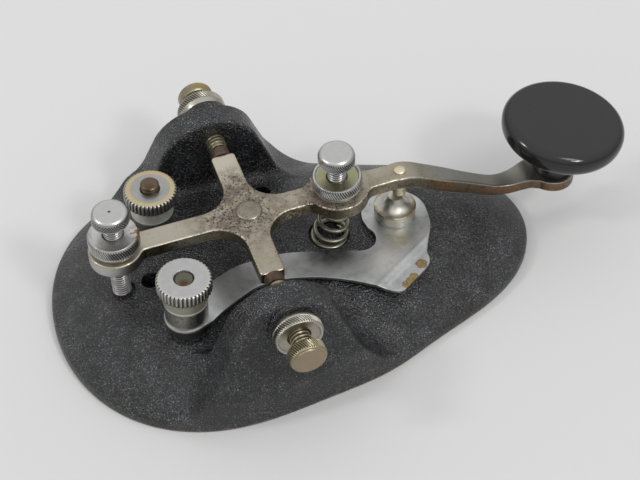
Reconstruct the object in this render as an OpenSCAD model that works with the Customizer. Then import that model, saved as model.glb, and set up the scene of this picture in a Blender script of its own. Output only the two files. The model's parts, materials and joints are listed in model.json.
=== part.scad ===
// Telegraph key: a sprung lever pivoted between the two ears of a cast base.
// Millimetres. The pivot axis lies along Y above x = 0; +X runs along the lever to the knob and +Z is up.
// in_frame() then moves everything so that x = 0 is the middle of the whole object.

/* [Base casting] */

// distance from the pivot to the middle of the base's outline
base_middle = 15.6; // [14:0.1:17]
// mean radius of the base's outline
base_radius = 49.74; // [48:0.1:52]
// height of the thin vertical rim
rim_height = 3; // [2:0.1:4]
// height of the flat middle of the base
plateau_height = 14; // [13:0.1:15]
// width of the rounded shoulder between rim and plateau
shoulder = 30; // [26:0.5:32]
// thickness of the casting's shell
shell = 3.6; // [3:0.1:4]
// inner face of each ear, measured from the middle plane
ear_inner = 28; // [27:0.1:29]
// thickness of each ear at its crest
ear_crest = 7.1; // [6:0.1:8]
// height of the ears
ear_height = 34.7; // [33.5:0.1:36]
// radius of the ears' rounded top
ear_radius = 14; // [12:0.1:15]
// radius of the three mounting holes
mounting_hole = 2.4; // [2:0.05:2.6]

/* [Lever] */

// height of the pivot axis above the table
pivot_height = 28.2; // [27.5:0.1:29]
// upward tilt of the lever at rest, in degrees
rest_tilt = 1.35; // [1:0.05:1.6]
// thickness of the lever
lever_thick = 3.6; // [3:0.1:4]
// half width of the lever's cross arms
arm_half = 3.1; // [2.8:0.1:3.4]
// reach of each cross arm from the middle plane
arm_reach = 20.8; // [20:0.1:21.2]
// radius of the fillets where the cross arms meet
cross_fillet = 7.5; // [6.5:0.1:8]
// distance from the pivot back to the stop screw
stop_x = 33.4; // [32.5:0.1:34]
// distance from the pivot forward to the spring screw
spring_x = 23.6; // [23:0.1:24.2]
// distance from the pivot forward to the contacts
contact_x = 40.2; // [39.5:0.1:40.8]
// gap between the contacts at rest
contact_gap = 0.8; // [0.5:0.05:1]

/* [Screws and nuts] */

// radius of the screw threads
thread_radius = 2.38; // [2.3:0.01:2.4]
// distance from one thread to the next
thread_pitch = 1.06; // [0.9:0.02:1.2]
// radius of the two pivot screws
pivot_screw_radius = 2.65; // [2.55:0.01:2.75]
// radial clearance of a screw in its hole
running_gap = 0.06; // [0.03:0.01:0.08]
// radius of the round lock nuts
nut_radius = 6.35; // [6:0.05:6.5]
// radius of the screws' heads
head_radius = 4.6; // [4.1:0.05:4.8]
// outer faces of the front and rear pivot screws' heads from the middle plane
pivot_head_y = [47.6, 46.4];

/* [Terminals] */

// distance from the pivot back to the front binding post
post_x = 21.1; // [20.6:0.1:21.6]
// distance from the pivot back to the rear binding post
rear_post_x = 20; // [19.5:0.1:20.5]
// distance of each binding post from the middle plane
post_y = 17.6; // [17:0.1:18]
// height of the contact strap's top face beside the anvil
strap_height = 15.5; // [15.3:0.1:16]
// thickness of the strap's sheet
strap_thick = 0.9; // [0.8:0.05:1]
// radius of the thumb nuts
thumb_radius = 6.75; // [6.4:0.05:7]
// teeth round each thumb nut
nut_teeth = 40; // [30:1:48]

/* [Knob] */

// radius of the knob's disc
knob_radius = 15.83; // [14.5:0.01:16.5]
// thickness of the knob's disc
knob_thick = 6.5; // [6:0.1:8]
// distance from the pivot to the middle of the disc
knob_x = 84.85; // [84:0.1:86]
// height of the middle of the disc
knob_height = 31.35; // [30:0.05:32]
// lean of the knob towards its user, in degrees
knob_lean = 6; // [4:0.5:8]

/* [Spring] */

// radius of the spring's wire
wire_radius = 0.5; // [0.4:0.01:0.55]
// radius of the spring's lowest curl, to the middle of the wire
spring_foot = 4.4; // [4.2:0.05:4.5]
// radius of the spring's upper curls
spring_top = 2.5; // [2.45:0.05:2.7]

/* [Hidden] */

$fn = 64;
iron = [0.11, 0.11, 0.12];
nickel = [0.62, 0.6, 0.55];
steel = [0.5, 0.5, 0.5];
brass = [0.72, 0.57, 0.3];
black = [0.05, 0.05, 0.06];
insulator = [0.13, 0.1, 0.09];

// The base's outline is a circle with five harmonics, in parts of its mean radius.
outline_harmonics = [-0.1327, 0.2503, 0.0397, 0.0248, 0.0297];
rim_steps = 48;
rim_edge = 0.6;
cavity_wall = 4;
dome_power = 2.5;
back_end = base_middle - outline_r(180);
knob_edge = 1.7;
knob_under_edge = 2.9;
front_end = knob_x + (knob_radius - knob_edge) * cos(knob_lean)
    + (knob_thick / 2 - knob_edge) * sin(knob_lean) + knob_edge;
frame_shift = -(front_end + back_end) / 2;

// Heights under the base, from the stud's end up to the shell's bosses.
stud_end = 2.6;
hex_low = 3.6;
washer_low = 7;
insulation_low = 7.8;
boss_low = 9;
under_shell = plateau_height - shell;
hex_across = 9.5;
sleeve_radius = 3.4;
boss_radius = 7.5;
seat_below = 6.3;
seat_sunk = 0.4;
mount_boss = 5;
hole_back_x = -25.7;
hole_side_x = 10;
hole_side_y = 20.5;

// Nuts and heads.
hole_radius = thread_radius + running_gap;
nut_bevel = 0.8;
head_high = 3.4;
front_nut = [36.6, 40.6];
rear_nut = [36.2, 40.9];
front_nut_radius = 6.1;
pivot_end_y = 23.9;

// The anvil and the two posts.
anvil_x = 39.2;
anvil_y = -0.3;
anvil_radius = 5.4;
anvil_ring = 19.2;
anvil_tip_radius = 1.8;
front_collar = [19.1, 24.6];
rear_collar = [plateau_height, 19.8];
collar_radius = 5.3;
bush_radius = 4.3;
thumb_high = 7.9;
thumb_flange = 5.45;
thumb_neck = 4.95;
thumb_step = 4.4;
front_stud_top = 32.3;
rear_stud_top = 29.7;

// The spring stands in a shallow seat and leans a little to meet the spring screw.
seat_x = 21.5;
seat_floor = 12.5;
spring_low = seat_floor + wire_radius + 0.02;
spring_high = 25.5;
spring_turns = 5.1;
spring_sides = 6;
rings_per_turn = 8;
seat_radius = 5.3;
stop_floor = 12.2;
stop_spot = 3.2;

// The lever in its own frame: origin on the pivot axis, x along the lever, z square to it.
half_thick = lever_thick / 2;
stop_reach = (pivot_height - stop_x * sin(rest_tilt) - stop_floor - 0.06) / cos(rest_tilt);
stop_tip_x = -stop_x * cos(rest_tilt) + stop_reach * sin(rest_tilt);
stop_head_top = 14.7;
spring_head_top = 14.4;
contact_drop = 5.95;
anvil_top = pivot_height + contact_x * sin(rest_tilt) - contact_drop - contact_gap;
pin_radius = 1.18;
rivet_x = 0.6;
rivet_radius = 1.1;
contact_stem = 1.8;
knob_screw_radius = 1.9;

// The handle's side view: headings in degrees, and the radii and lengths between them.
bend_x = 39.3;
fall = -27.9;
rise = 15;
bend_radius = 11.6;
fall_length = 22.74;
dip_radius = 11;
rise_length = 1.9;
crest_radius = 5;
pad_x = 82.7;
pad_radius = 6.5;
tail_length = 18;
pad_thick = 3.1;
bend = [bend_x, pivot_height + (half_thick + bend_x * sin(rest_tilt)) / cos(rest_tilt)];
bend_middle = bend - bend_radius * across(rest_tilt);
dip_middle = bend_middle + bend_radius * across(fall) + fall_length * along(fall)
    + dip_radius * across(fall);
crest_middle = dip_middle - dip_radius * across(rise) + rise_length * along(rise)
    - crest_radius * across(rise);
pad_start = crest_middle + crest_radius * across(-knob_lean);
knob_axis = across(-knob_lean);
knob_middle = [knob_x, knob_height];
stem_length = (knob_middle - pad_start) * knob_axis;

function along(a) = [cos(a), sin(a)];
function across(a) = [-sin(a), cos(a)];

// Radius of the base's outline at angle a from +X.
function outline_r(a) = base_radius * (1 + outline_harmonics[0] * cos(a)
    + outline_harmonics[1] * cos(2 * a) + outline_harmonics[2] * cos(3 * a)
    + outline_harmonics[3] * cos(4 * a) + outline_harmonics[4] * cos(5 * a));

// Cosine of the angle between the radius and the outline's normal at angle a.
function outline_cos(a) = let (step = 0.5,
    slope = (outline_r(a + step) - outline_r(a - step)) / (2 * step * PI / 180),
    r = outline_r(a)) r / sqrt(r * r + slope * slope);

// Point of the outline moved in by d, at height z.
function ring_point(a, d, z) = let (r = outline_r(a) - d / outline_cos(a))
    [base_middle + r * cos(a), r * sin(a), z];

// Height of the dome at distance d in from the rim.
function dome(d) = rim_height + (plateau_height - rim_height)
    * (1 - pow(1 - min(d, shoulder) / shoulder, dome_power));

// Solid through a list of rings [inset, height] that follow the base's outline, closed by two fans.
module ring_solid(rings) {
    count = len(rings);
    apex = count * rim_steps;
    points = concat([for (ring = rings) for (i = [0 : rim_steps - 1])
        ring_point(i * 360 / rim_steps, ring[0], ring[1])],
        [[base_middle, 0, rings[0][1]], [base_middle, 0, rings[count - 1][1]]]);
    walls = [for (k = [0 : count - 2]) for (i = [0 : rim_steps - 1])
        let (j = (i + 1) % rim_steps, low = k * rim_steps, high = low + rim_steps)
        each [[low + i, high + j, low + j], [low + i, high + i, high + j]]];
    fans = [for (i = [0 : rim_steps - 1])
        let (j = (i + 1) % rim_steps, top = (count - 1) * rim_steps)
        each [[apex, i, j], [apex + 1, top + j, top + i]]];
    polyhedron(points = points, faces = concat(walls, fans), convexity = 4);
}

// Half width of the base's outline at x, read from points along it.
outline_half = [for (i = [0 : 36]) let (p = ring_point(180 - i * 5, 0, 0)) [p[0], p[1]]];

// Height of the dome over the point x, y.
function dome_at(x, y) = let (dx = x - base_middle, a = atan2(y, dx))
    dome(max(0, (outline_r(a) - norm([dx, y])) * outline_cos(a)));

// Bell-shaped side view of an ear: [x, z, outward normal in x, outward normal in z].
ear_middle_x = -1.2;
ear_lean = 21.8;
ear_foot_radius = 9;
ear_foot_z = 16;
ear_shoulder = ear_radius * along(ear_lean) + [0, ear_height - ear_radius];
ear_knee = [ear_shoulder[0] + (ear_shoulder[1] - ear_foot_z) * tan(ear_lean), ear_foot_z];
function bell_half(t) = t <= 1
    ? let (a = 90 - t * (90 - ear_lean))
        concat(ear_radius * along(a) + [0, ear_height - ear_radius], along(a))
    : t <= 2
    ? concat(ear_shoulder + (t - 1) * (ear_knee - ear_shoulder), along(ear_lean))
    : let (a = ear_lean + (t - 2) * (78 - ear_lean))
        concat(ear_knee + ear_foot_radius * (along(ear_lean) - along(a)), along(a));
function bell_point(t) = let (b = bell_half(abs(t)), way = t < 0 ? -1 : 1)
    [ear_middle_x + way * b[0], b[1], way * b[2], b[3]];

// Cross-section of an ear through bell point t, from its inner foot over the crest to its outer foot.
// Past the knee it sinks into the dome: sunk goes from 0 to 1, and lift is the crest's height over the dome.
ear_crease = 1.3;
ear_draft = 7.7;
function ear_section(t) = let (b = bell_point(t), edge = lookup(b[0], outline_half),
    sunk = max(0, abs(t) - 2), middle = dome_at(b[0], ear_inner + ear_crest / 2),
    lift = b[1] - middle - 3.6 * sunk, inner_z = dome_at(b[0], ear_inner), low = 1.2 + 0.9 * sunk,
    fillet = max(0.3, min(3.8, (b[1] - inner_z) * 0.6) * (1 - sunk)),
    rise = min(fillet, lift - 0.3 - 0.8 * (1 - sunk)),
    outer = min(ear_inner + ear_crest + max(0, ear_height - b[1]) * tan(ear_draft), edge - 3),
    low_y = min(ear_inner + ear_crest + (ear_height - 10) * tan(ear_draft), edge - 2.2),
    foot_y = min(low_y + 1.2, edge - 1.2))
    concat(
        [for (k = [0 : 3]) let (a = k * 30, y = ear_inner - fillet * cos(a))
            [b[0], y, dome_at(b[0], y) - low + (rise + low) * (1 - cos(a))]],
        [for (k = [0 : 2]) crest_point(b, ear_inner, 1, k * 45, lift, sunk)],
        [for (k = [2 : -1 : 0]) crest_point(b, outer, -1, k * 45, lift, sunk)],
        [[b[0], low_y, min(b[1], dome_at(b[0], low_y) + 1.2 - 3 * sunk)],
            [b[0], foot_y, dome_at(b[0], foot_y) - 1.5 - 0.6 * sunk]]);

// Point of the rounded edge between a side face at y and the crest at bell point b.
function crest_point(b, y, way, a, lift, sunk) = let (r = max(0.12, ear_crease * (1 - sunk)),
    sink = r * (1 - sin(a)), at = y + way * r * (1 - cos(a)), x = b[0] - b[2] * sink)
    [x, at, (b[1] - b[3] * sink) * (1 - sunk) + (dome_at(x, at) + lift - sink) * sunk];

// One ear on the +Y side: its sections, its flat seat for the lock nut at seat_y and its bore.
module ear(seat_y) {
    stations = [-3, -2.6, -2.3, -2, -1, -0.75, -0.5, -0.25, 0, 0.25, 0.5, 0.75, 1, 2, 2.3, 2.6, 3];
    sections = [for (t = stations) ear_section(t)];
    n = len(sections[0]);
    last = len(stations) - 1;
    walls = [for (i = [0 : last - 1]) for (k = [0 : n - 1])
        let (m = (k + 1) % n, a = i * n, b = a + n)
        each [[a + k, a + m, b + m], [a + k, b + m, b + k]]];
    start_cap = [for (k = [1 : n - 2]) [0, k + 1, k]];
    end_cap = [for (k = [1 : n - 2]) let (e = last * n) [e, e + k, e + k + 1]];
    ear_seat = nut_radius + 0.1;
    difference() {
        union() {
            polyhedron(points = [for (section = sections) each section],
                faces = concat(walls, start_cap, end_cap), convexity = 6);
            translate([0, ear_inner + 2, pivot_height])
                rotate([-90, 0, 0])
                    cylinder(r = ear_seat, h = seat_y - ear_inner - 2);
        }
        translate([0, seat_y, pivot_height])
            rotate([-90, 0, 0])
                cylinder(r = ear_seat, h = 8);
        translate([0, ear_inner - 1, pivot_height])
            rotate([-90, 0, 0])
                cylinder(r = pivot_screw_radius + running_gap, h = 14);
    }
}

module base_casting() {
    outside = [[rim_edge, 0], [0, rim_edge], [0, rim_height], for (d = [0.8, 2.2, 4.5, 7.5, 11.5, 16.5, 22.5])
        [d, dome(d)], [shoulder, plateau_height]];
    inside = [[shoulder, under_shell], for (d = [20, 14, 9, 6]) [d, dome(d) - shell], [cavity_wall, 2],
        [cavity_wall, 0]];
    color(iron)
        in_frame()
            difference() {
                union() {
                    ring_solid(concat(inside, outside));
                    ear(rear_nut[0]);
                    mirror([0, 1, 0])
                        ear(front_nut[0]);
                    terminal_places()
                        translate([0, 0, boss_low - seat_sunk])
                            cylinder(r = boss_radius, h = under_shell + 1 + seat_sunk - boss_low);
                    for (pad = [[-post_x, -post_y, bush_radius], [-rear_post_x, post_y, collar_radius]])
                        translate([pad[0], pad[1], boss_low])
                            cylinder(r = pad[2] + 0.4, h = plateau_height - boss_low);
                    mounting_places()
                        cylinder(r = mount_boss, h = under_shell + 1);
                }
                mounting_places()
                    translate([0, 0, -1])
                        cylinder(r = mounting_hole, h = plateau_height + 4);
                terminal_places()
                    translate([0, 0, boss_low - 4])
                        cylinder(r = seat_below, h = 4);
                translate([-rear_post_x, post_y, boss_low - 1])
                    cylinder(r = hole_radius, h = plateau_height);
                insulated_places()
                    translate([0, 0, boss_low - 1])
                        cylinder(r = sleeve_radius + running_gap, h = plateau_height);
                translate([seat_x, 0, seat_floor])
                    cylinder(r = seat_radius, h = 4);
                translate([stop_tip_x, 0, stop_floor])
                    cylinder(r = stop_spot, h = 4);
            }
}

// The two fastenings that are insulated from the base.
module insulated_places() {
    translate([-post_x, -post_y, 0])
        children();
    translate([anvil_x, anvil_y, 0])
        children();
}

// Centres of all three fastenings that pass down through the base.
module terminal_places() {
    translate([-rear_post_x, post_y, 0])
        children();
    insulated_places()
        children();
}

module mounting_places() {
    translate([hole_back_x, 0, 0])
        children();
    for (side = [-1, 1])
        translate([hole_side_x, side * hole_side_y, 0])
            children();
}

// The lever's own frame, tilted up a little towards the knob.
module lever_frame(x = 0) {
    translate([0, 0, pivot_height])
        rotate([0, -rest_tilt, 0])
            translate([x, 0, 0])
                children();
}

// The knob's frame: origin where the knob's axis meets the top of the lever's pad.
module knob_frame() {
    foot = knob_middle - stem_length * knob_axis;
    translate([foot[0], 0, foot[1]])
        rotate([0, knob_lean, 0])
            children();
}

// Points of an arc about c from angle a0 to a1.
function arc(c, r, a0, a1, steps) = [for (i = [0 : steps]) c + r * along(a0 + (a1 - a0) * i / steps)];

// Centre of the fillet between the lever's bar and an eye of radius r at x, on the side towards way.
function fillet_middle(x, r, fillet, way) = let (lift = arm_half + fillet)
    [x + way * sqrt(pow(r + fillet, 2) - lift * lift), lift];

// Top view of the lever: one half of the outline from the back eye to the pad, and its mirror image.
module lever_plan() {
    back_eye = 6.7;
    front_eye = 7.8;
    front_x = spring_x + 0.2;
    back_fillet = 2;
    front_fillet = 2.75;
    corner = 1;
    inner = arm_half + cross_fillet;
    back = fillet_middle(-stop_x, back_eye, back_fillet, 1);
    back_angle = atan2(back[1], back[0] + stop_x);
    near = fillet_middle(front_x, front_eye, front_fillet, -1);
    near_angle = atan2(near[1], near[0] - front_x);
    far = fillet_middle(front_x, front_eye, front_fillet, 1);
    far_angle = atan2(far[1], far[0] - front_x);
    waist = [[38, 2.95], [40.3, 3.2], [45, 3], [52, 2.8], [58, 2.35], [62.7, 2.2], [67.7, 2.4], [70.7, 2.7],
        [73.2, 3.05], [75.7, 3.7]];
    pad_angle = 135;
    half = concat(
        arc([-stop_x, 0], back_eye, 180, back_angle, 8),
        arc(back, back_fillet, back_angle - 180, -90, 3),
        arc([-inner, inner], cross_fillet, -90, 0, 6),
        arc([corner - arm_half, arm_reach - corner], corner, 180, 90, 2),
        arc([arm_half - corner, arm_reach - corner], corner, 90, 0, 2),
        arc([inner, inner], cross_fillet, 180, 270, 6),
        arc(near, front_fillet, 270, near_angle + 180, 4),
        arc([front_x, 0], front_eye, near_angle, far_angle, 8),
        arc(far, front_fillet, far_angle - 180, -90, 4),
        waist,
        arc([pad_x, 0], pad_radius, pad_angle, 0, 8));
    count = len(half);
    polygon(concat(half, [for (i = [count - 2 : -1 : 1]) [half[i][0], -half[i][1]]]));
}

// Side view of the lever: a band that bends down to the pad and thins a little on the way.
module lever_side() {
    steps = 6;
    start = bend - 90 * along(rest_tilt);
    headings = concat(
        [for (i = [0 : steps]) [bend_middle, bend_radius, rest_tilt + (fall - rest_tilt) * i / steps]],
        [for (i = [0 : steps]) [dip_middle, -dip_radius, fall + (rise - fall) * i / steps]],
        [for (i = [0 : steps]) [crest_middle, crest_radius, rise - (rise + knob_lean) * i / steps]]);
    top = [for (h = headings) h[0] + h[1] * across(h[2])];
    count = len(headings);
    thick = [for (i = [0 : count - 1])
        lever_thick - (lever_thick - pad_thick) * max(0, min(1, (i - steps - 1) / steps))];
    under = [for (i = [0 : count - 1]) let (h = headings[i]) h[0] + (h[1] - thick[i]) * across(h[2])];
    tail = pad_start + tail_length * along(-knob_lean);
    polygon(concat([start], top, [tail], [tail - pad_thick * knob_axis],
        [for (i = [count - 1 : -1 : 0]) under[i]], [start - lever_thick * across(rest_tilt)]));
}

module lever() {
    color(nickel)
        in_frame()
            difference() {
                intersection() {
                    translate([0, 0, 5])
                        linear_extrude(40)
                            lever_plan();
                    rotate([90, 0, 0])
                        linear_extrude(60, center = true)
                            lever_side();
                }
                for (x = [-stop_x, spring_x])
                    lever_frame(x)
                        cylinder(r = hole_radius, h = 12, center = true);
                lever_frame(contact_x) {
                    cylinder(r = rivet_radius + 0.02, h = 12, center = true);
                    translate([0, 0, -half_thick - 4])
                        cylinder(r = contact_stem + 0.05, h = 4);
                }
                lever_frame(rivet_x)
                    cylinder(r = 1.52, h = 12, center = true);
                for (side = [-1, 1])
                    lever_frame()
                        rotate([-90 * side, 0, 0])
                            translate([0, 0, 12.8])
                                cylinder(r = pin_radius + 0.02, h = 10);
                knob_frame()
                    cylinder(r = knob_screw_radius + 0.05, h = 12, center = true);
            }
}

// Steel pivot pin in the end of a cross arm; side is -1 at the front and 1 at the rear.
module pivot_pin(side) {
    collar = 2.4;
    collar_end = 23.6;
    tip = 25;
    color(steel)
        in_frame()
            lever_frame()
                rotate([-90 * side, 0, 0])
                    rotate_extrude()
                        polygon([[0, 13], [pin_radius, 13], [pin_radius, arm_reach + 0.02],
                            [collar, arm_reach + 0.02], [collar, collar_end - 0.3],
                            [collar - 0.3, collar_end], [tip - collar_end, collar_end], [0, tip]]);
}

module pivot_pin_front() {
    pivot_pin(-1);
}

module pivot_pin_rear() {
    pivot_pin(1);
}

// Flattened dome of the rivet at the middle of the lever, riveted flush below.
module centre_rivet() {
    color(nickel)
        in_frame()
            lever_frame(rivet_x)
                rotate_extrude()
                    polygon([[0, -half_thick], [1.5, -half_thick], [1.5, half_thick], [3.35, half_thick],
                        [3.35, half_thick + 0.25], [2.95, half_thick + 0.55], [1.5, half_thick + 0.68],
                        [0, half_thick + 0.7]]);
}

module upper_contact() {
    color(nickel)
        in_frame()
            lever_frame(contact_x)
                rotate_extrude()
                    polygon([[0, -contact_drop], [contact_stem - 0.2, -contact_drop],
                        [contact_stem, -contact_drop + 0.2], [contact_stem, -half_thick],
                        [rivet_radius, -half_thick], [rivet_radius, half_thick], [1.35, half_thick],
                        [1.35, half_thick + 0.2], [1, half_thick + 0.4], [0, half_thick + 0.45]]);
}

// Half section of a round head with a bevelled top, from low to high.
function head_outline(low, high) = [[head_radius - 0.3, low], [head_radius, low + 0.3],
    [head_radius, high - 1.1], [head_radius - 0.3, high - 0.4], [head_radius - 0.8, high]];

module stop_screw() {
    dimple = 0.9;
    low = stop_head_top - head_high;
    color(steel)
        in_frame()
            lever_frame(-stop_x)
                rotate_extrude()
                    polygon(concat([[0, -stop_reach], [1.5, -stop_reach], [thread_radius, 1.2 - stop_reach],
                        [thread_radius, low]], head_outline(low, stop_head_top),
                        [[dimple, stop_head_top], [0, stop_head_top - dimple]]));
}

module spring_screw() {
    pilot = 1.85;
    shoulder_z = -half_thick - 0.9;
    tip = shoulder_z - 1.2;
    low = spring_head_top - head_high;
    color(steel)
        in_frame()
            lever_frame(spring_x)
                rotate_extrude()
                    polygon(concat([[0, tip], [pilot - 0.4, tip], [pilot, tip + 0.4], [pilot, shoulder_z],
                        [thread_radius, shoulder_z], [thread_radius, low]],
                        head_outline(low, spring_head_top), [[0, spring_head_top]]));
}

// Half section of a plain lock nut, bevelled at both edges and countersunk at the top.
function plain_nut(low, high) = [[hole_radius, low], [nut_radius - 1.05, low], [nut_radius, low + 1.05],
    [nut_radius, high - nut_bevel], [nut_radius - nut_bevel, high],
    [hole_radius + 0.35, high], [hole_radius, high - 0.35]];

// Half section of a lock nut of radius r whose top face is sunk inside a raised rim.
function rimmed_nut(bore, r, low, high) = [[bore, low], [r - nut_bevel, low], [r, low + nut_bevel],
    [r, high - 0.5], [r - 0.4, high], [r - 0.85, high], [r - 1.1, high - 0.45], [bore + 0.3, high - 0.45],
    [bore, high - 0.75]];

module stop_lock_nut() {
    color(steel)
        in_frame()
            lever_frame(-stop_x)
                rotate_extrude()
                    polygon(plain_nut(half_thick, half_thick + 5.1));
}

module spring_lock_nut() {
    color(steel)
        in_frame()
            lever_frame(spring_x)
                rotate_extrude()
                    polygon(rimmed_nut(hole_radius, nut_radius, half_thick, half_thick + 4.5));
}

// Everything on the pivot axis outside the lever; side is -1 at the front and 1 at the rear.
module on_pivot(side) {
    in_frame()
        translate([0, 0, pivot_height])
            rotate([-90 * side, 0, 0])
                children();
}

module pivot_screw(side, head_end) {
    cup = 25.08 - pivot_end_y;
    nose = 2.3;
    nose_end = pivot_end_y + 1.3;
    head_low = head_end - head_high;
    groove = 0.45;
    grooves = [for (i = [0 : 2]) let (y = nose_end + 0.2 + i * thread_pitch)
        each [[pivot_screw_radius, y], [pivot_screw_radius - groove, y + thread_pitch / 2]]];
    color(brass)
        on_pivot(side)
            rotate_extrude()
                polygon(concat([[0, pivot_end_y + cup], [cup, pivot_end_y], [nose - 0.2, pivot_end_y],
                    [nose, pivot_end_y + 0.2], [nose, nose_end]], grooves,
                    [[pivot_screw_radius, nose_end + 0.2 + 3 * thread_pitch], [pivot_screw_radius, head_low]],
                    head_outline(head_low, head_end), [[0, head_end]]));
}

module pivot_screw_front() {
    pivot_screw(-1, pivot_head_y[0]);
}

module pivot_screw_rear() {
    pivot_screw(1, pivot_head_y[1]);
}

module pivot_lock_nut(side, r, reach) {
    color(steel)
        on_pivot(side)
            rotate_extrude()
                polygon(rimmed_nut(pivot_screw_radius + running_gap, r, reach[0], reach[1]));
}

module pivot_lock_nut_front() {
    pivot_lock_nut(-1, front_nut_radius, front_nut);
}

module pivot_lock_nut_rear() {
    pivot_lock_nut(1, nut_radius, rear_nut);
}

// A collared stud: threaded above the collar for the thumb nut, and below it down through the base.
module binding_post(place, collar, low, high) {
    color(steel)
        in_frame()
            translate(place)
                rotate_extrude()
                    polygon([[0, low], [thread_radius - 0.4, low], [thread_radius, low + 0.4],
                        [thread_radius, collar[0]], [collar_radius - 0.2, collar[0]],
                        [collar_radius, collar[0] + 0.2], [collar_radius, collar[1] - 0.4],
                        [collar_radius - 0.4, collar[1]], [thread_radius, collar[1]],
                        [thread_radius, high - 0.4], [thread_radius - 0.4, high], [0, high]]);
}

module binding_post_front() {
    binding_post([-post_x, -post_y, 0], front_collar, stud_end, front_stud_top);
}

module binding_post_rear() {
    binding_post([-rear_post_x, post_y, 0], rear_collar, stud_end + boss_low - insulation_low,
        rear_stud_top);
}

// Thumb nut with a plain foot and a toothed rim, standing on z = 0.
module thumb_nut() {
    tooth = 0.45;
    difference() {
        union() {
            rotate_extrude()
                polygon([[0, 0], [thumb_flange - 0.35, 0], [thumb_flange, 0.35],
                    [thumb_neck, thumb_step], [thumb_neck, thumb_step + 0.1], [0, thumb_step + 0.1]]);
            intersection() {
                translate([0, 0, thumb_step])
                    linear_extrude(thumb_high - thumb_step)
                        polygon([for (i = [0 : 2 * nut_teeth - 1])
                            (thumb_radius - tooth * (i % 2)) * along(i * 180 / nut_teeth)]);
                translate([0, 0, thumb_step])
                    rotate_extrude()
                        polygon([[0, 0], [thumb_radius - 0.1, 0], [thumb_radius + 0.1, 0.2],
                            [thumb_radius + 0.1, thumb_high - thumb_step - 0.7],
                            [thumb_radius - 0.6, thumb_high - thumb_step], [0, thumb_high - thumb_step]]);
            }
        }
        translate([0, 0, -1])
            cylinder(r = hole_radius, h = thumb_high + 2);
        translate([0, 0, thumb_high - 0.3])
            cylinder(r1 = hole_radius, r2 = hole_radius + 0.4, h = 0.4);
    }
}

module binding_nut_front() {
    color(steel)
        in_frame()
            translate([-post_x, -post_y, front_collar[1]])
                thumb_nut();
}

module binding_nut_rear() {
    color(steel)
        in_frame()
            translate([-rear_post_x, post_y, rear_collar[1]])
                thumb_nut();
}

// Round washer with a hole for a stud, from low to high.
module washer(r, low, high) {
    translate([0, 0, low])
        difference() {
            cylinder(r = r, h = high - low);
            translate([0, 0, -1])
                cylinder(r = thread_radius + 0.15, h = high - low + 2);
        }
}

// Insulating flange from low to high with a sleeve that lines the hole in the base.
module insulated_sleeve(r, low, high) {
    color(insulator)
        rotate_extrude()
            polygon([[hole_radius, boss_low], [sleeve_radius, boss_low], [sleeve_radius, low], [r - 0.2, low],
                [r, low + 0.2], [r, high - 0.2], [r - 0.2, high], [hole_radius, high]]);
}

module front_post_bush() {
    in_frame()
        translate([-post_x, -post_y, 0])
            insulated_sleeve(bush_radius, plateau_height, front_collar[0] - strap_thick);
}

module anvil_insulator() {
    in_frame()
        translate([anvil_x, anvil_y, 0])
            insulated_sleeve(6, plateau_height, strap_height - strap_thick);
}

module insulating_washers() {
    color(insulator)
        in_frame()
            insulated_places()
                washer(6, insulation_low, boss_low);
}

module terminal_washers() {
    color(steel)
        in_frame() {
            insulated_places()
                washer(5.2, washer_low, insulation_low);
            translate([-rear_post_x, post_y, boss_low - insulation_low])
                washer(5.2, washer_low, insulation_low);
        }
}

module hex_nut() {
    translate([0, 0, hex_low])
        difference() {
            cylinder(r = hex_across / sqrt(3), h = washer_low - hex_low, $fn = 6);
            translate([0, 0, -1])
                cylinder(r = hole_radius, h = washer_low);
        }
}

module terminal_nuts() {
    color(steel)
        in_frame() {
            insulated_places()
                hex_nut();
            translate([-rear_post_x, post_y, boss_low - insulation_low])
                hex_nut();
        }
}

// Lower contact: stud, plain drum and a flare that narrows to the contact face.
module contact_anvil() {
    flare = anvil_top - anvil_ring;
    rim = 0.15;
    color(nickel)
        in_frame()
            translate([anvil_x, anvil_y, 0])
                rotate_extrude()
                    polygon(concat([[0, stud_end], [thread_radius - 0.4, stud_end],
                        [thread_radius, stud_end + 0.4], [thread_radius, strap_height],
                        [anvil_radius - 0.1, strap_height], [anvil_radius - 0.1, anvil_ring - 0.5],
                        [anvil_radius, anvil_ring - 0.4], [anvil_radius, anvil_ring - rim]],
                        [for (i = [0 : 8]) let (a = 90 * i / 8)
                            [anvil_tip_radius + (anvil_radius - rim - anvil_tip_radius) * (1 - sin(a)),
                                anvil_ring + flare * (1 - cos(a))]],
                        [[0, anvil_top]]));
}

// Top view of the strap: an eye, a straight run, and a broad end round the anvil with a cut-away behind it.
module strap_plan() {
    post = [-post_x, -post_y];
    anvil = [anvil_x, anvil_y];
    eye = 5.6;
    end_radius = 8.5;
    notch = 4;
    notch_middle = [28, -5.4];
    difference() {
        polygon(concat(
            arc(post, eye, 300, 112, 10),
            [[-12.1, -9], [-6, -5.6], [-0.3, -3.8], [7.1, -3.6], [14.5, -5.3]],
            arc(notch_middle, notch, 250, 400, 6),
            arc(anvil, end_radius, 176, -10, 12),
            [[47.3, -4.2], [45.7, -8.2], [42.7, -14.8], [42.5, -16.4], [41.9, -18], [40.3, -19.5],
                [33.6, -23.9], [32, -24.5], [30.3, -24.1], [28.3, -22.6], [20.8, -17.5], [14.1, -14.2],
                [5.7, -11.9], [-0.3, -12.1], [-5, -14.3], [-10.5, -18], [-15.7, -21.3]]));
        for (middle = [post, anvil])
            translate(middle)
                circle(r = thread_radius + 0.15);
    }
}

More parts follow.
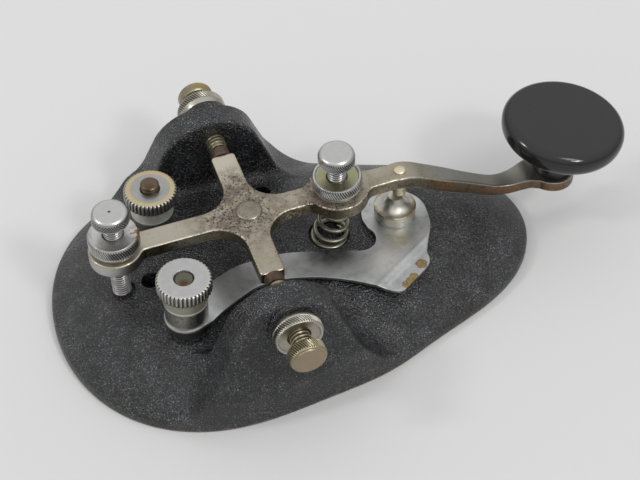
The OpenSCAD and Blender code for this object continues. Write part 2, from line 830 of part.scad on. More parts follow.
module contact_strap() {
    slope_start = -13.6;
    slope_end = 0.8;
    crease_angle = 32.2;
    crease_first = 32.2;
    crease_second = 34.4;
    step = 0.7;
    eye_height = front_collar[0];
    color(nickel)
        in_frame()
            intersection() {
                translate([0, 0, 5])
                    linear_extrude(30)
                        strap_plan();
                union() {
                    difference() {
                        rotate([90, 0, 0])
                            linear_extrude(80, center = true)
                                polygon([[-40, eye_height], [slope_start, eye_height],
                                    [slope_end, strap_height], [60, strap_height],
                                    [60, strap_height - strap_thick],
                                    [slope_end - 0.2, strap_height - strap_thick],
                                    [slope_start - 0.2, eye_height - strap_thick],
                                    [-40, eye_height - strap_thick]]);
                        rotate([0, 0, crease_angle - 90])
                            translate([crease_first, -80, 0])
                                cube([40, 160, 40]);
                    }
                    rotate([0, 0, crease_angle - 90])
                        rotate([90, 0, 0])
                            linear_extrude(160, center = true)
                                polygon([[crease_first, strap_height], [crease_second, strap_height - step],
                                    [60, strap_height - step], [60, strap_height - step - strap_thick],
                                    [crease_second, strap_height - step - strap_thick],
                                    [crease_first, strap_height - strap_thick]]);
                }
            }
}

// Middle line of the spring's wire after n turns.
function spring_point(n) = let (t = n / spring_turns,
    eased = t * t * (3 - 2 * t),
    share = 0.16 * t + 0.84 * eased,
    z = spring_low + (spring_high - spring_low) * share,
    r = spring_foot + (spring_top - spring_foot) * pow(share, 1.5),
    a = 40 - 360 * n)
    [seat_x + (spring_x + 0.1 - seat_x) * share + r * cos(a), r * sin(a), z];

spring_rings = round(spring_turns * rings_per_turn);
spring_path = [for (i = [0 : spring_rings]) spring_point(i / rings_per_turn)];

// Least distance between one stretch of wire and the next turn of it, less the wire's own thickness.
spring_gap = min([for (i = [0 : spring_rings - 6]) for (j = [i + 6 : spring_rings])
    norm(spring_path[j] - spring_path[i])]) - 2 * wire_radius;
echo(spring_gap = spring_gap, frame_shift = frame_shift, anvil_top = anvil_top, stop_tip_x = stop_tip_x);

// Ring of wire points round the path at step i, square to the path.
function wire_ring(i) = let (before = spring_path[max(i - 1, 0)],
    after = spring_path[min(i + 1, spring_rings)],
    ahead = (after - before) / norm(after - before),
    side = cross([0, 0, 1], ahead) / norm(cross([0, 0, 1], ahead)),
    up = cross(ahead, side))
    [for (k = [0 : spring_sides - 1]) let (a = 360 * k / spring_sides)
        spring_path[i] + wire_radius * (cos(a) * side + sin(a) * up)];

module lever_spring() {
    n = spring_sides;
    points = [for (i = [0 : spring_rings]) each wire_ring(i)];
    walls = [for (i = [0 : spring_rings - 1]) for (k = [0 : n - 1])
        let (m = (k + 1) % n, a = i * n, b = a + n)
        each [[a + k, b + m, a + m], [a + k, b + k, b + m]]];
    start_cap = [for (k = [1 : n - 2]) [0, k, k + 1]];
    end_cap = [for (k = [1 : n - 2]) let (b = spring_rings * n) [b, b + k + 1, b + k]];
    color(brass)
        in_frame()
            polyhedron(points = points, faces = concat(walls, start_cap, end_cap), convexity = 8);
}

// Disc with a rounded edge on a short stem, bored from below for its screw.
module knob() {
    stem_radius = 5.2;
    disc_low = stem_length - knob_thick / 2;
    disc_high = stem_length + knob_thick / 2;
    bore_depth = 8.5;
    color(black)
        in_frame()
            knob_frame()
                difference() {
                    rotate_extrude() {
                        square([stem_radius, disc_low + 1]);
                        translate([0, disc_low])
                            square([knob_radius - knob_under_edge, knob_thick]);
                        translate([0, disc_high - knob_thick / 2])
                            square([knob_radius - knob_edge, knob_thick / 2]);
                        translate([0, disc_low + knob_under_edge])
                            square([knob_radius, knob_thick - knob_under_edge - knob_edge]);
                        for (edge = [[knob_under_edge, disc_low + knob_under_edge],
                                [knob_edge, disc_high - knob_edge]])
                            translate([knob_radius - edge[0], edge[1]])
                                circle(r = edge[0]);
                    }
                    translate([0, 0, -1])
                        cylinder(r = knob_screw_radius + 0.05, h = bore_depth + 1);
                }
}

module knob_screw() {
    head = 3.5;
    head_deep = 1.8;
    slot = 0.9;
    color(steel)
        in_frame()
            knob_frame()
                difference() {
                    rotate_extrude()
                        polygon([[0, -pad_thick - head_deep], [head - 0.5, -pad_thick - head_deep],
                            [head, -pad_thick - head_deep + 0.5], [head, -pad_thick - 0.02],
                            [knob_screw_radius, -pad_thick - 0.02], [knob_screw_radius, 7.6],
                            [knob_screw_radius - 0.4, 8], [0, 8]]);
                    translate([-5, -slot / 2, -pad_thick - head_deep - 1])
                        cube([10, slot, 1.9]);
                }
}

module in_frame() {
    translate([frame_shift, 0, 0])
        children();
}

base_casting();
binding_post_front();
binding_post_rear();
binding_nut_front();
binding_nut_rear();
front_post_bush();
insulating_washers();
terminal_washers();
terminal_nuts();
anvil_insulator();
contact_anvil();
contact_strap();
pivot_screw_front();
pivot_screw_rear();
pivot_lock_nut_front();
pivot_lock_nut_rear();
lever();
pivot_pin_front();
pivot_pin_rear();
centre_rivet();
upper_contact();
stop_screw();
stop_lock_nut();
spring_screw();
spring_lock_nut();
lever_spring();
knob();
knob_screw();
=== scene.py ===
# %% [markdown]
# # Telegraph key
# A hand telegraph key: a nickel-plated lever with a black knob rocks on two pointed pins between the ears
# of a black cast base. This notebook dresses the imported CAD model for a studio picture. Nearly every
# visible piece is built again in finer mesh code on the place its CAD node holds.

# %% Load the frame
import json
import math

import bmesh
import bpy
import numpy as np
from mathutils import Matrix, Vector

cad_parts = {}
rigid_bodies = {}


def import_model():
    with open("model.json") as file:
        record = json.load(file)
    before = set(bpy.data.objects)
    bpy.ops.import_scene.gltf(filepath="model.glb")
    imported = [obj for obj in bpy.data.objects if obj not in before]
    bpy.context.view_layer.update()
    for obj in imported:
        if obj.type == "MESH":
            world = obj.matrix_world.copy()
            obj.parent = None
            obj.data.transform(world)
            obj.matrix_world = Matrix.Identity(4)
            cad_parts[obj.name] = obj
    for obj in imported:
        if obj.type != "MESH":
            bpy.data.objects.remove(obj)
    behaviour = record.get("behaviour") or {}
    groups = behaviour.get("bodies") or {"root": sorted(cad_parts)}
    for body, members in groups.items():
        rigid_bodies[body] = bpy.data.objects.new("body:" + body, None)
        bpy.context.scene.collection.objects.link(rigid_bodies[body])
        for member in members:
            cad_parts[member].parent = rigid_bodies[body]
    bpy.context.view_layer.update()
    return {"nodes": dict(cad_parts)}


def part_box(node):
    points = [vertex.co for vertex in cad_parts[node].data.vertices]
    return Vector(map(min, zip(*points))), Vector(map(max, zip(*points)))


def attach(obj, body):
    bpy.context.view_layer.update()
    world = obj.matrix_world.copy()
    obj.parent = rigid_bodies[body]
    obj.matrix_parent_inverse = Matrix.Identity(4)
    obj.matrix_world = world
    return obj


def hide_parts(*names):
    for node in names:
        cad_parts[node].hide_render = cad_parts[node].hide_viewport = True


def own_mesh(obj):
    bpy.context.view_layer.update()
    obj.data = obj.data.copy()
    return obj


for leftover in list(bpy.data.objects):
    bpy.data.objects.remove(leftover)
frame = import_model()

# %% [markdown]
# ## Where things are
# Key makers measure from the pivot, so sizes below are millimetres from a point on the table under the
# pivot axis: x runs to the knob, y to the rear ear and z up. The pivot's place in the frame is read from
# the CAD model, and one function turns such millimetres into the frame's metres.

# %% Millimetres from the pivot
MM = 0.001
pin_low, pin_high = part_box("pivot_pin_rear")
PIVOT_X = (pin_low.x + pin_high.x) / 2
PIVOT_HEIGHT = 28.2
REST_TILT = math.radians(1.35)
HALF_THICK = 1.8


def in_metres(points):
    """Points in millimetres from the pivot, as an array in the frame's metres."""
    return np.asarray(points, float) * MM + np.array([PIVOT_X, 0, 0])


def along(degrees):
    return np.array([math.cos(math.radians(degrees)), math.sin(math.radians(degrees))])


def across(degrees):
    return np.array([-math.sin(math.radians(degrees)), math.cos(math.radians(degrees))])


print("pivot axis at x =", round(PIVOT_X, 5), "m")

# %% [markdown]
# ## Camera
# The photograph looks down on the key from the front left. The camera's place and lens were worked out
# from the outlines of the round nuts and the base, so the picture is made the same way: a long lens, no
# shift and no blur.

# %% The camera
CAMERA_SPOT = (-76.8, -274.8, 338.9)
CAMERA_AZIMUTH, CAMERA_ELEVATION = math.radians(-19.23), math.radians(48.28)
LENS, SENSOR = 96.1, 36.0
back = Vector((
    math.sin(CAMERA_AZIMUTH) * math.cos(CAMERA_ELEVATION),
    -math.cos(CAMERA_AZIMUTH) * math.cos(CAMERA_ELEVATION),
    math.sin(CAMERA_ELEVATION),
))
camera = bpy.data.objects.new("camera", bpy.data.cameras.new("camera"))
camera.data.lens, camera.data.sensor_width = LENS, SENSOR
camera.location = in_metres(CAMERA_SPOT)
camera.rotation_mode = "QUATERNION"
camera.rotation_quaternion = (-back).to_track_quat("-Z", "Y")
bpy.context.scene.collection.objects.link(camera)
bpy.context.scene.camera = camera
print("camera at", [round(v, 3) for v in camera.location], "m")

# %% [markdown]
# ## Making finishes
# Every finish is a Principled shader fed by noise in the piece's own coordinates. A small class keeps the
# node work short: it adds a texture, a mask or a bump in one line each. Scales are given in features per
# millimetre, and colours as they look on a screen, from 0 to 255.

# %% A small kit for finishes
def screen(red, green, blue):
    """A colour as seen on a screen, 0 to 255, as the linear light that shaders use."""
    parts = [c / 255 for c in (red, green, blue)]
    return tuple(c / 12.92 if c < 0.04045 else ((c + 0.055) / 1.055) ** 2.4 for c in parts) + (1.0,)


class Finish:
    """A material being made: its Principled shader and the nodes that feed it."""

    def __init__(self, name, **sockets):
        self.material = bpy.data.materials.new(name)
        self.material.use_nodes = True
        tree = self.material.node_tree
        self.nodes, self.links = tree.nodes, tree.links
        self.shader = tree.nodes["Principled BSDF"]
        for socket, value in sockets.items():
            self.shader.inputs[socket.replace("_", " ")].default_value = value
        self.place = self.nodes.new("ShaderNodeTexCoord").outputs["Object"]

    def feed(self, socket, source):
        """Links a source that is a socket, and sets one that is a value."""
        if isinstance(source, bpy.types.NodeSocket):
            self.links.new(source, socket)
        else:
            socket.default_value = source

    def noise(self, per_mm, detail=3.0, roughness=0.55, stretch=None):
        """Cloudy noise with this many features per millimetre."""
        node = self.nodes.new("ShaderNodeTexNoise")
        node.inputs["Scale"].default_value = per_mm / MM
        node.inputs["Detail"].default_value = detail
        node.inputs["Roughness"].default_value = roughness
        source = self.place
        if stretch:
            source = self.vector("MULTIPLY", source, stretch)
        self.links.new(source, node.inputs["Vector"])
        return node.outputs["Fac"]

    def vector(self, how, a, b):
        node = self.nodes.new("ShaderNodeVectorMath")
        node.operation = how
        self.feed(node.inputs[0], a)
        self.feed(node.inputs[1], b)
        return node.outputs["Value" if how == "DISTANCE" else "Vector"]

    def sum(self, how, a, b):
        node = self.nodes.new("ShaderNodeMath")
        node.operation = how
        self.feed(node.inputs[0], a)
        self.feed(node.inputs[1], b)
        return node.outputs["Value"]

    def between(self, source, start, end, low=0.0, high=1.0):
        """A soft step from low to high while source goes from start to end."""
        node = self.nodes.new("ShaderNodeMapRange")
        node.interpolation_type = "SMOOTHSTEP"
        for socket, value in zip(("From Min", "From Max", "To Min", "To Max"), (start, end, low, high)):
            node.inputs[socket].default_value = value
        self.links.new(source, node.inputs["Value"])
        return node.outputs["Result"]

    def mix(self, amount, a, b):
        node = self.nodes.new("ShaderNodeMix")
        node.data_type = "RGBA"
        self.feed(node.inputs["Factor"], amount)
        self.feed(node.inputs[6], a)
        self.feed(node.inputs[7], b)
        return node.outputs[2]

    def mark(self, name):
        """A number that the mesh carries at each of its points."""
        node = self.nodes.new("ShaderNodeAttribute")
        node.attribute_name = name
        return node.outputs["Fac"]

    def above(self, start, end):
        """0 below and 1 above a height on a turned piece, in that piece's own millimetres."""
        return self.between(self.mark("turn_z"), start, end)

    def below(self, start, end):
        return self.between(self.mark("turn_z"), start, end, 1.0, 0.0)

    def inside(self, start, end):
        """1 near the axis of a turned piece and 0 further out."""
        return self.between(self.mark("turn_r"), start, end, 1.0, 0.0)

    def groove_dirt_and_shade(self, colour, dirt_and_shade):
        """The colour with dirt and painted shade in every groove of the relief."""
        # grooves darkened by their depth: dirt, and painted shade
        deep = self.between(self.mark("groove"), 0.06, 0.24)
        return self.mix(self.sum("MULTIPLY", deep, 0.85), colour, dirt_and_shade)

    def near(self, spot, radius):
        """1 at a spot in millimetres from the pivot, falling to 0 at the radius."""
        centre = tuple(in_metres(spot))
        distance = self.vector("DISTANCE", self.place, centre)
        return self.between(distance, 0.2 * radius * MM, radius * MM, 1.0, 0.0)

    def axis(self, index):
        """The x, y or z of the place, in metres."""
        node = self.nodes.new("ShaderNodeSeparateXYZ")
        self.links.new(self.place, node.inputs["Vector"])
        return node.outputs[index]

    def bump(self, height, depth_mm, strength=1.0, over=None):
        """A bump from a height map, on top of another bump if one is given."""
        node = self.nodes.new("ShaderNodeBump")
        node.inputs["Strength"].default_value = strength
        node.inputs["Distance"].default_value = depth_mm * MM
        self.links.new(height, node.inputs["Height"])
        if over is not None:
            self.links.new(over, node.inputs["Normal"])
        return node.outputs["Normal"]

    def wear(self, colour=None, roughness=None, normal=None, metallic=None):
        """Feeds the finished sources to the shader and gives the material."""
        for socket, source in (("Base Color", colour), ("Roughness", roughness),
                               ("Normal", normal), ("Metallic", metallic)):
            if source is not None:
                self.feed(self.shader.inputs[socket], source)
        return self.material


print("finish kit ready")

# %% [markdown]
# ## Black paint on iron
# The base is an iron casting under black paint that has dried slightly pebbled, so it shows a dull sheen
# full of tiny glints. The paint could be a flat black with a bump, but the glints need three sizes of
# grain: a soft roll from the casting sand, the paint's own pebbles, and a fine grain whose brightest specks
# are painted into the colour as pale glints, more of them to the right of the front ear. On the front
# ear's crest the paint is rubbed smoother, and along the foot of the rim it is worn through to brown.

# %% The paint
paint = Finish("black_paint", IOR=1.55)
PEBBLE_DEPTH, ROLL_DEPTH = 0.46, 0.5
RUBBED_CREST = (((-8, -31, 32), 9), ((1, -30, 34.5), 8))
GLINTS = ((24, -27, 10), 20)
pebbles = paint.noise(1.5, 2.0, 0.5)
glint_grain = paint.noise(3.2, 1.0, 0.5)
roll = paint.noise(0.16, 2.0)
mixed = paint.sum("ADD", paint.sum("MULTIPLY", pebbles, 0.6), paint.sum("MULTIPLY", roll, 0.4))
colour = paint.mix(paint.between(mixed, 0.4, 0.62), screen(10, 11, 14), screen(30, 31, 34))
# painted glints: pale specks put into the colour where the fine grain peaks, more to the right of the front
# ear
sparkle = paint.sum("ADD", glint_grain, paint.sum("MULTIPLY", roll, 0.22))
sparkle = paint.sum("ADD", sparkle, paint.sum("MULTIPLY", paint.near(*GLINTS), 0.03))
colour = paint.mix(paint.between(sparkle, 0.74, 0.81), colour, screen(124, 124, 126))
chip = paint.between(paint.noise(0.9, 4.0, 0.7), 0.66, 0.7)
colour = paint.mix(chip, colour, screen(84, 76, 68))
wander = paint.sum("MULTIPLY", paint.noise(0.5, 2.0), -0.0008)
foot = paint.between(paint.sum("ADD", paint.axis(2), wander), 0.0, 0.0005, 1.0, 0.0)
colour = paint.mix(foot, colour, screen(110, 96, 80))
height = paint.sum("ADD", pebbles, paint.sum("MULTIPLY", glint_grain, 0.6))
polished = paint.sum("MAXIMUM", *(paint.near(*place) for place in RUBBED_CREST))
height = paint.sum("MULTIPLY", height, paint.sum("SUBTRACT", 1.0, paint.sum("MULTIPLY", polished, 0.5)))
normal = paint.bump(height, PEBBLE_DEPTH, over=paint.bump(roll, ROLL_DEPTH, 0.6))
rough = paint.between(pebbles, 0.35, 0.7, 0.22, 0.36)
rough = paint.sum("SUBTRACT", rough, paint.sum("MULTIPLY", polished, 0.08))
black_paint = paint.wear(colour, rough, normal)
print("made", black_paint.name)

# %% [markdown]
# ## Nickel, steel and brass
# The bright parts are plated: nickel on the lever, the strap and the anvil, duller on the nuts. Old plate
# is not one colour. It yellows, is pitted where damp sat, is rubbed bright along edges and gathers brown
# in corners. One function makes such a metal from a main colour, a stain colour and a few strengths.

# %% Worn metal
def worn_metal(name, plate, stain, roughness=0.32, stains=0.35, pits=0.3, grain=0.02):
    """Plated metal with cloudy stains and small dark pits."""
    metal = Finish(name, Metallic=1.0)
    cloud = metal.noise(0.35, 4.0, 0.6)
    fine = metal.noise(2.2, 3.0, 0.6)
    colour = metal.mix(metal.between(cloud, 0.62 - stains * 0.5, 0.8), plate, stain)
    spots = metal.between(fine, 0.74 - pits * 0.3, 0.86 - pits * 0.25)
    pit_colour = tuple(c * 0.25 for c in stain[:3]) + (1.0,)
    colour = metal.mix(spots, colour, pit_colour)
    rough = metal.between(cloud, 0.3, 0.8, roughness, roughness + 0.2)
    return metal, colour, rough, metal.bump(metal.noise(3.5, 2.0), grain)


def plain_worn(*args, **settings):
    metal, colour, rough, normal = worn_metal(*args, **settings)
    return metal.wear(colour, rough, normal)


nut_steel = plain_worn("nut_steel", screen(158, 158, 154), screen(104, 98, 78),
                       roughness=0.3, stains=0.45, pits=0.3)
rusty = plain_worn("rusty_steel", screen(108, 94, 84), screen(78, 60, 50),
                   roughness=0.5, stains=0.5, pits=0.5, grain=0.05)
spring_steel = plain_worn("spring_steel", screen(150, 147, 132), screen(98, 94, 74),
                          roughness=0.28, stains=0.35, pits=0.15)
print("made three metals")

# %% [markdown]
# ## Turned pieces
# Screws, nuts, posts, the anvil and the knob all came off a lathe, so they are made as a lathe makes them:
# a half outline spun round an axis. Sharp corners catch no light, so each corner first becomes a small
# arc. Threads and knurls are real relief, made by moving the spun points in and out.

# %% Rounding an outline's corners
ARC_POINTS, NEARLY_STRAIGHT = 4, 0.2
SIDE_SHARE, BESIDE_ARC = 0.32, 1.4


def soften(outline, radius=0.14):
    """The outline with its corners turned into small arcs. Points beside each arc keep flat faces flat."""
    made, count = [], len(outline)
    for i, here in enumerate(outline):
        here = np.array(here, float)
        if i in (0, count - 1):
            made.append(here)
            continue
        before, after = (np.array(outline[i + s], float) - here for s in (-1, 1))
        reach_in, reach_out = np.linalg.norm(before), np.linalg.norm(after)
        a, b = before / reach_in, after / reach_out
        turn = math.pi - math.acos(max(-1.0, min(1.0, float(a @ b))))
        if turn < NEARLY_STRAIGHT:
            made.append(here)
            continue
        reach = min(radius * math.tan(turn / 2), SIDE_SHARE * reach_in, SIDE_SHARE * reach_out)
        r = reach / math.tan(turn / 2)
        middle = here + (a + b) / np.linalg.norm(a + b) * r / math.cos(turn / 2)
        first, last = here + a * reach - middle, here + b * reach - middle
        made.append(here + a * reach * BESIDE_ARC)
        for t in np.linspace(0, 1, ARC_POINTS):
            way = math.sin((1 - t) * turn) * first + math.sin(t * turn) * last
            made.append(middle + way / math.sin(turn))
        made.append(here + b * reach * BESIDE_ARC)
    return made


print("a softened square corner has", len(soften([(1, 0), (1, 1), (0, 1)])) - 2, "points")

# %% Mesh helpers
def smooth(mesh, sharp=38):
    """Smooth shading but for edges sharper than an angle in degrees."""
    mesh.shade_smooth()
    mesh.set_sharp_from_angle(angle=math.radians(sharp))


def dress(mesh, finish):
    mesh.materials.clear()
    mesh.materials.append(finish)


def placed(name, mesh, finish):
    """An object in the scene that shows a mesh in one finish."""
    dress(mesh, finish)
    piece = bpy.data.objects.new(name, mesh)
    bpy.context.scene.collection.objects.link(piece)
    return piece


def shown(name, points, faces, finish, sharp=38):
    """A mesh object from points in metres, shaded smooth but for edges sharper than an angle."""
    mesh = bpy.data.meshes.new(name)
    mesh.from_pydata(np.asarray(points).tolist(), [], faces)
    piece = placed(name, mesh, finish)
    smooth(mesh, sharp)
    return piece


def baked(piece):
    """The mesh that an object shows once its curve or its modifiers have run."""
    return bpy.data.meshes.new_from_object(piece.evaluated_get(bpy.context.evaluated_depsgraph_get()))


def from_curve(name, curve, finish):
    """What a bevelled curve shows, as a mesh object."""
    drawn = bpy.data.objects.new(name, curve)
    bpy.context.scene.collection.objects.link(drawn)
    mesh = baked(drawn)
    bpy.data.objects.remove(drawn)
    return placed(name, mesh, finish)


def tidy_mesh(mesh, gap=1e-6):
    """Merges points that lie together and turns all faces outwards."""
    work = bmesh.new()
    work.from_mesh(mesh)
    bmesh.ops.remove_doubles(work, verts=work.verts, dist=gap)
    bmesh.ops.recalc_face_normals(work, faces=work.faces)
    work.to_mesh(mesh)
    work.free()


def write_mark(mesh, name, values):
    """Stores a number at each point, for a finish to read."""
    mark = mesh.attributes.new(name, "FLOAT", "POINT")
    mark.data.foreach_set("value", np.asarray(values, np.float32))


def points_of(mesh):
    """The mesh's points as an array of rows."""
    flat = np.zeros(len(mesh.vertices) * 3)
    mesh.vertices.foreach_get("co", flat)
    return flat.reshape(-1, 3)


print("mesh helpers ready")

# %% The lathe
TURNED_SHARP = 62


def spun(outline, steps=96, relief=None, twist=None, loop=False):
    """Points in millimetres, faces and relief depths of an outline [(radius, height)] spun round z.

    The relief is worked out before the twist, so a twist leans the ridges of a knurl.
    """
    r, z = np.array(outline, float).T
    straight = np.linspace(0, 2 * math.pi, steps, endpoint=False)[None, :] + 0 * z[:, None]
    angle = straight + (twist(z)[:, None] if twist else 0)
    cut = relief(straight, z[:, None], r[:, None]) if relief else 0 * angle
    radius = r[:, None] + cut
    points = np.stack([radius * np.cos(angle), radius * np.sin(angle), z[:, None] + 0 * angle], -1)
    rows = len(r) if loop else len(r) - 1
    faces = []
    for k in range(rows):
        low, high = k * steps, (k + 1) % len(r) * steps
        for i in range(steps):
            j = (i + 1) % steps
            faces.append((low + i, low + j, high + j, high + i))
    return points.reshape(-1, 3), faces, -cut.ravel()


def turned(name, outline, place, finish, **how):
    """A turned piece. place takes local millimetres to millimetres from the pivot."""
    points, faces, depths = spun(outline, **how)
    piece = shown(name, points * MM, faces, finish)
    write_mark(piece.data, "groove", depths)
    tidy_mesh(piece.data)
    local = points_of(piece.data) / MM
    write_mark(piece.data, "turn_r", np.hypot(local[:, 0], local[:, 1]))
    write_mark(piece.data, "turn_z", local[:, 2])
    piece.data.vertices.foreach_set("co", in_metres(place(local)).ravel())
    piece.data.update()
    smooth(piece.data, TURNED_SHARP)
    print(name, len(piece.data.vertices), "points")
    return piece


print("a spun disc has", len(spun([(0, 0), (1, 0)])[1]), "faces unless a piece asks for more")

# %% Axes of the turned pieces
def upright(x, y):
    """An upright axis through a point of the table."""
    return lambda p: p + np.array([x, y, 0])


def on_lever(x):
    """The lever's own axes, tilted up a little towards the knob, at x along it."""
    c, s = math.cos(REST_TILT), math.sin(REST_TILT)
    return lambda p: np.stack([(p[:, 0] + x) * c - p[:, 2] * s, p[:, 1],
                               PIVOT_HEIGHT + (p[:, 0] + x) * s + p[:, 2] * c], 1)


def on_pivot(side):
    """The pivot axis: local z runs outwards to the ear on that side, -1 front or 1 rear."""
    return lambda p: np.stack([p[:, 0], side * p[:, 2], PIVOT_HEIGHT - side * p[:, 1]], 1)


print("the lever rests", round(math.degrees(REST_TILT), 2), "degrees off level")

# %% [markdown]
# ## Threads and knurls
# A thread is a groove that climbs one pitch for each turn, so the radius dips where the height and the
# angle agree. Wear has rounded these threads, so the dip is a cosine. Each point keeps its depth as a
# mark, which lets the finishes put dirt and painted shade into the grooves. A knurl is the same with many
# starts. On slanted knurls the spun points are twisted along with the ridges, which keeps each ridge crisp
# with four points.
# Crossed knurls take the lower of two.

# %% Relief for threads and knurls
THREAD_PITCH, FINE_PITCH, RUN_OUT, ON_WALL = 1.06, 0.79, 0.5, 0.004
KNURL_EDGE, KNURL_FADE = 0.45, 0.4


def wave(turns):
    """Triangle wave of turns: 0 at whole numbers and 1 half way between."""
    return 1 - abs(2 * (turns - np.floor(turns)) - 1)


def thread(radius, spans, depth=0.42, pitch=THREAD_PITCH):
    """Relief of a thread on the wall of that radius, within each (low, high) span of heights."""
    def relief(angle, z, r):
        grooves = 0.5 - 0.5 * np.cos(2 * math.pi * z / pitch - angle)
        inside = sum(np.clip((z - low) / RUN_OUT, 0, 1) * np.clip((high - z) / RUN_OUT, 0, 1)
                     for low, high in spans)
        return np.where(abs(r - radius) < ON_WALL, -depth * inside * grooves, 0.0)
    return relief


def thread_rows(radius, low, high, pitch=THREAD_PITCH, per_turn=8):
    """Outline points close enough together along a threaded wall to carry its groove."""
    count = max(2, int(abs(high - low) / pitch * per_turn))
    return [(radius, z) for z in np.linspace(low, high, count)]


def knurl(radius, low, high, teeth, depth=0.28, crossed=0.0):
    """Relief of a knurl on the wall of that radius between two heights, fading over the rounded rim."""
    def relief(angle, z, r):
        reach = np.where((z > low) & (z < high), np.clip((r - radius + KNURL_EDGE) / KNURL_FADE, 0, 1), 0.0)
        ridges = teeth * angle / (2 * math.pi)
        if crossed:
            crests = np.minimum(wave(ridges - crossed * z), wave(ridges + crossed * z))
        else:
            crests = wave(ridges)
        return -depth * reach * (1 - crests)
    return relief


def slanted(low, high, teeth, slant):
    """Twist that leans the ridges of a knurl by slant ridges over its height."""
    return lambda z: np.clip((z - low) / (high - low), 0, 1) * slant * 2 * math.pi / teeth


def both(*reliefs):
    """Several reliefs on one piece."""
    return lambda angle, z, r: sum(f(angle, z, r) for f in reliefs)


def settle(piece, body, slot, *nodes):
    """Rides a piece on its body and lets it stand for its CAD nodes, which it hides. The slot is not used.
    """
    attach(piece, body)
    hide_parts(*nodes)


print("thread pitches", THREAD_PITCH, FINE_PITCH, "mm")

# %% [markdown]
# ## The base casting: outline and dome
# Seen from above the base is egg-shaped, and from the side it is a low dome whose shoulder rolls over to
# a short upright rim. The outline is a circle with five gentle harmonics, and the dome's height depends
# only on the distance in from that outline. A quarter round joins the dome to the rim.

# %% Outline and dome of the base
BASE_MIDDLE, BASE_RADIUS = 15.6, 49.74
OUTLINE_HARMONICS = (-0.1327, 0.2503, 0.0397, 0.0248, 0.0297)
RIM_HEIGHT, PLATEAU, SHOULDER, DOME_POWER = 3.0, 14.0, 30.0, 2.5
RIM_ROUND = 2.5


def outline_radius(angle):
    """Distance from the middle of the base to its outline."""
    waves = sum(h * np.cos(n * angle) for n, h in enumerate(OUTLINE_HARMONICS, 1))
    return BASE_RADIUS * (1 + waves)


def outline_cosine(angle):
    """How squarely the radius meets the outline."""
    slope = -BASE_RADIUS * sum(h * n * np.sin(n * angle) for n, h in enumerate(OUTLINE_HARMONICS, 1))
    radius = outline_radius(angle)
    return radius / np.hypot(radius, slope)


def inset_at(x, y):
    """Distance in from the outline."""
    angle = np.arctan2(y, x - BASE_MIDDLE)
    return np.maximum(0, (outline_radius(angle) - np.hypot(x - BASE_MIDDLE, y)) * outline_cosine(angle))


def dome(inset):
    """Height of the painted surface between the ears, rolled over to the rim at the outline."""
    outwards = 1 - np.minimum(inset, SHOULDER) / SHOULDER
    full = RIM_HEIGHT + (PLATEAU - RIM_HEIGHT) * (1 - outwards**DOME_POWER)
    slope = math.atan((PLATEAU - RIM_HEIGHT) * DOME_POWER / SHOULDER)
    round_foot = RIM_HEIGHT + RIM_ROUND * (math.tan(slope) - 1 / math.cos(slope))
    short = RIM_ROUND - np.minimum(inset, RIM_ROUND)
    rolled = round_foot + np.sqrt(np.maximum(0, RIM_ROUND**2 - short**2))
    return np.where(inset < RIM_ROUND * (1 - math.sin(slope)), rolled, full)


print("base is", round(float(outline_radius(0) + outline_radius(math.pi)), 1), "mm long")

# %% [markdown]
# ## The base casting: ears
# Two ears rise from the dome's sides like bells cut flat on the inside, and each is thicker at its foot,
# because a casting needs draft to leave the sand. Distance fields suit such soft joins: the ear is where
# a bell and two planes overlap, with a rounded crease, and a smooth union melts it into the dome. The
# union is widest on the outer side, where the casting runs down in long soft folds.

# %% Ears as distance fields
EAR_MIDDLE, EAR_TOP, EAR_RADIUS, EAR_LEAN = -1.2, 34.7, 14.0, math.radians(21.8)
EAR_INNER, FRONT_INNER, EAR_OUTER = 28.0, 27.6, 35.1
INNER_DRAFT, OUTER_DRAFT = 0.02, math.tan(math.radians(7.7))
INNER_CREASE, OUTER_CREASE = 1.1, 1.2
FOLD_WIDTH, FRONT_FOLD, REAR_FOLD, FOLD_START, FOLD_RUN = 4.8, 11.0, 8.0, 30.5, 9


def smooth_max(a, b, width):
    """The larger of two distances, blended over a width."""
    overlap = np.maximum(width - abs(a - b), 0) / width
    return np.maximum(a, b) + overlap**2 * width / 4


def smooth_min(a, b, width):
    return -smooth_max(-a, -b, width)


def bell_distance(x, z):
    """Distance outside an ear's side view: a round top whose flanks lean out."""
    dx, dz = abs(x - EAR_MIDDLE), z - (EAR_TOP - EAR_RADIUS)
    flank = dx * math.cos(EAR_LEAN) + dz * math.sin(EAR_LEAN)
    round_top = np.hypot(dx, dz)
    return np.where(np.arctan2(dz, dx) > EAR_LEAN, round_top, flank) - EAR_RADIUS


def casting_distance(x, y, z):
    """Distance outside the painted surface, near enough for finding its height."""
    inset, side = inset_at(x, y), abs(y)
    outwards = 1 - np.minimum(inset, SHOULDER) / SHOULDER
    slope = (PLATEAU - RIM_HEIGHT) * DOME_POWER / SHOULDER * outwards ** (DOME_POWER - 1)
    over_dome = (z - dome(inset)) / np.sqrt(1 + slope**2)
    flank = bell_distance(x, z)
    inner = np.where(y < 0, FRONT_INNER, EAR_INNER) - (EAR_TOP - z) * INNER_DRAFT - side
    outer = side - EAR_OUTER - (EAR_TOP - z) * OUTER_DRAFT
    ear = smooth_max(smooth_max(flank, inner, INNER_CREASE), outer, OUTER_CREASE)
    outside = np.clip((side - FOLD_START) / FOLD_RUN, 0, 1)
    return smooth_min(over_dome, ear, FOLD_WIDTH + np.where(y < 0, FRONT_FOLD, REAR_FOLD) * outside)


def casting_height(x, y):
    """Height of the painted surface, found by halving the span it must lie in."""
    low, high = np.zeros_like(x), np.full_like(x, EAR_TOP + 1)
    for _ in range(18):
        middle = (low + high) / 2
        inside = casting_distance(x, y, middle) < 0
        low, high = np.where(inside, middle, low), np.where(inside, high, middle)
    return (low + high) / 2


print("ear crest at", round(float(casting_height(np.array([EAR_MIDDLE]), np.array([31.5]))[0]), 2), "mm")

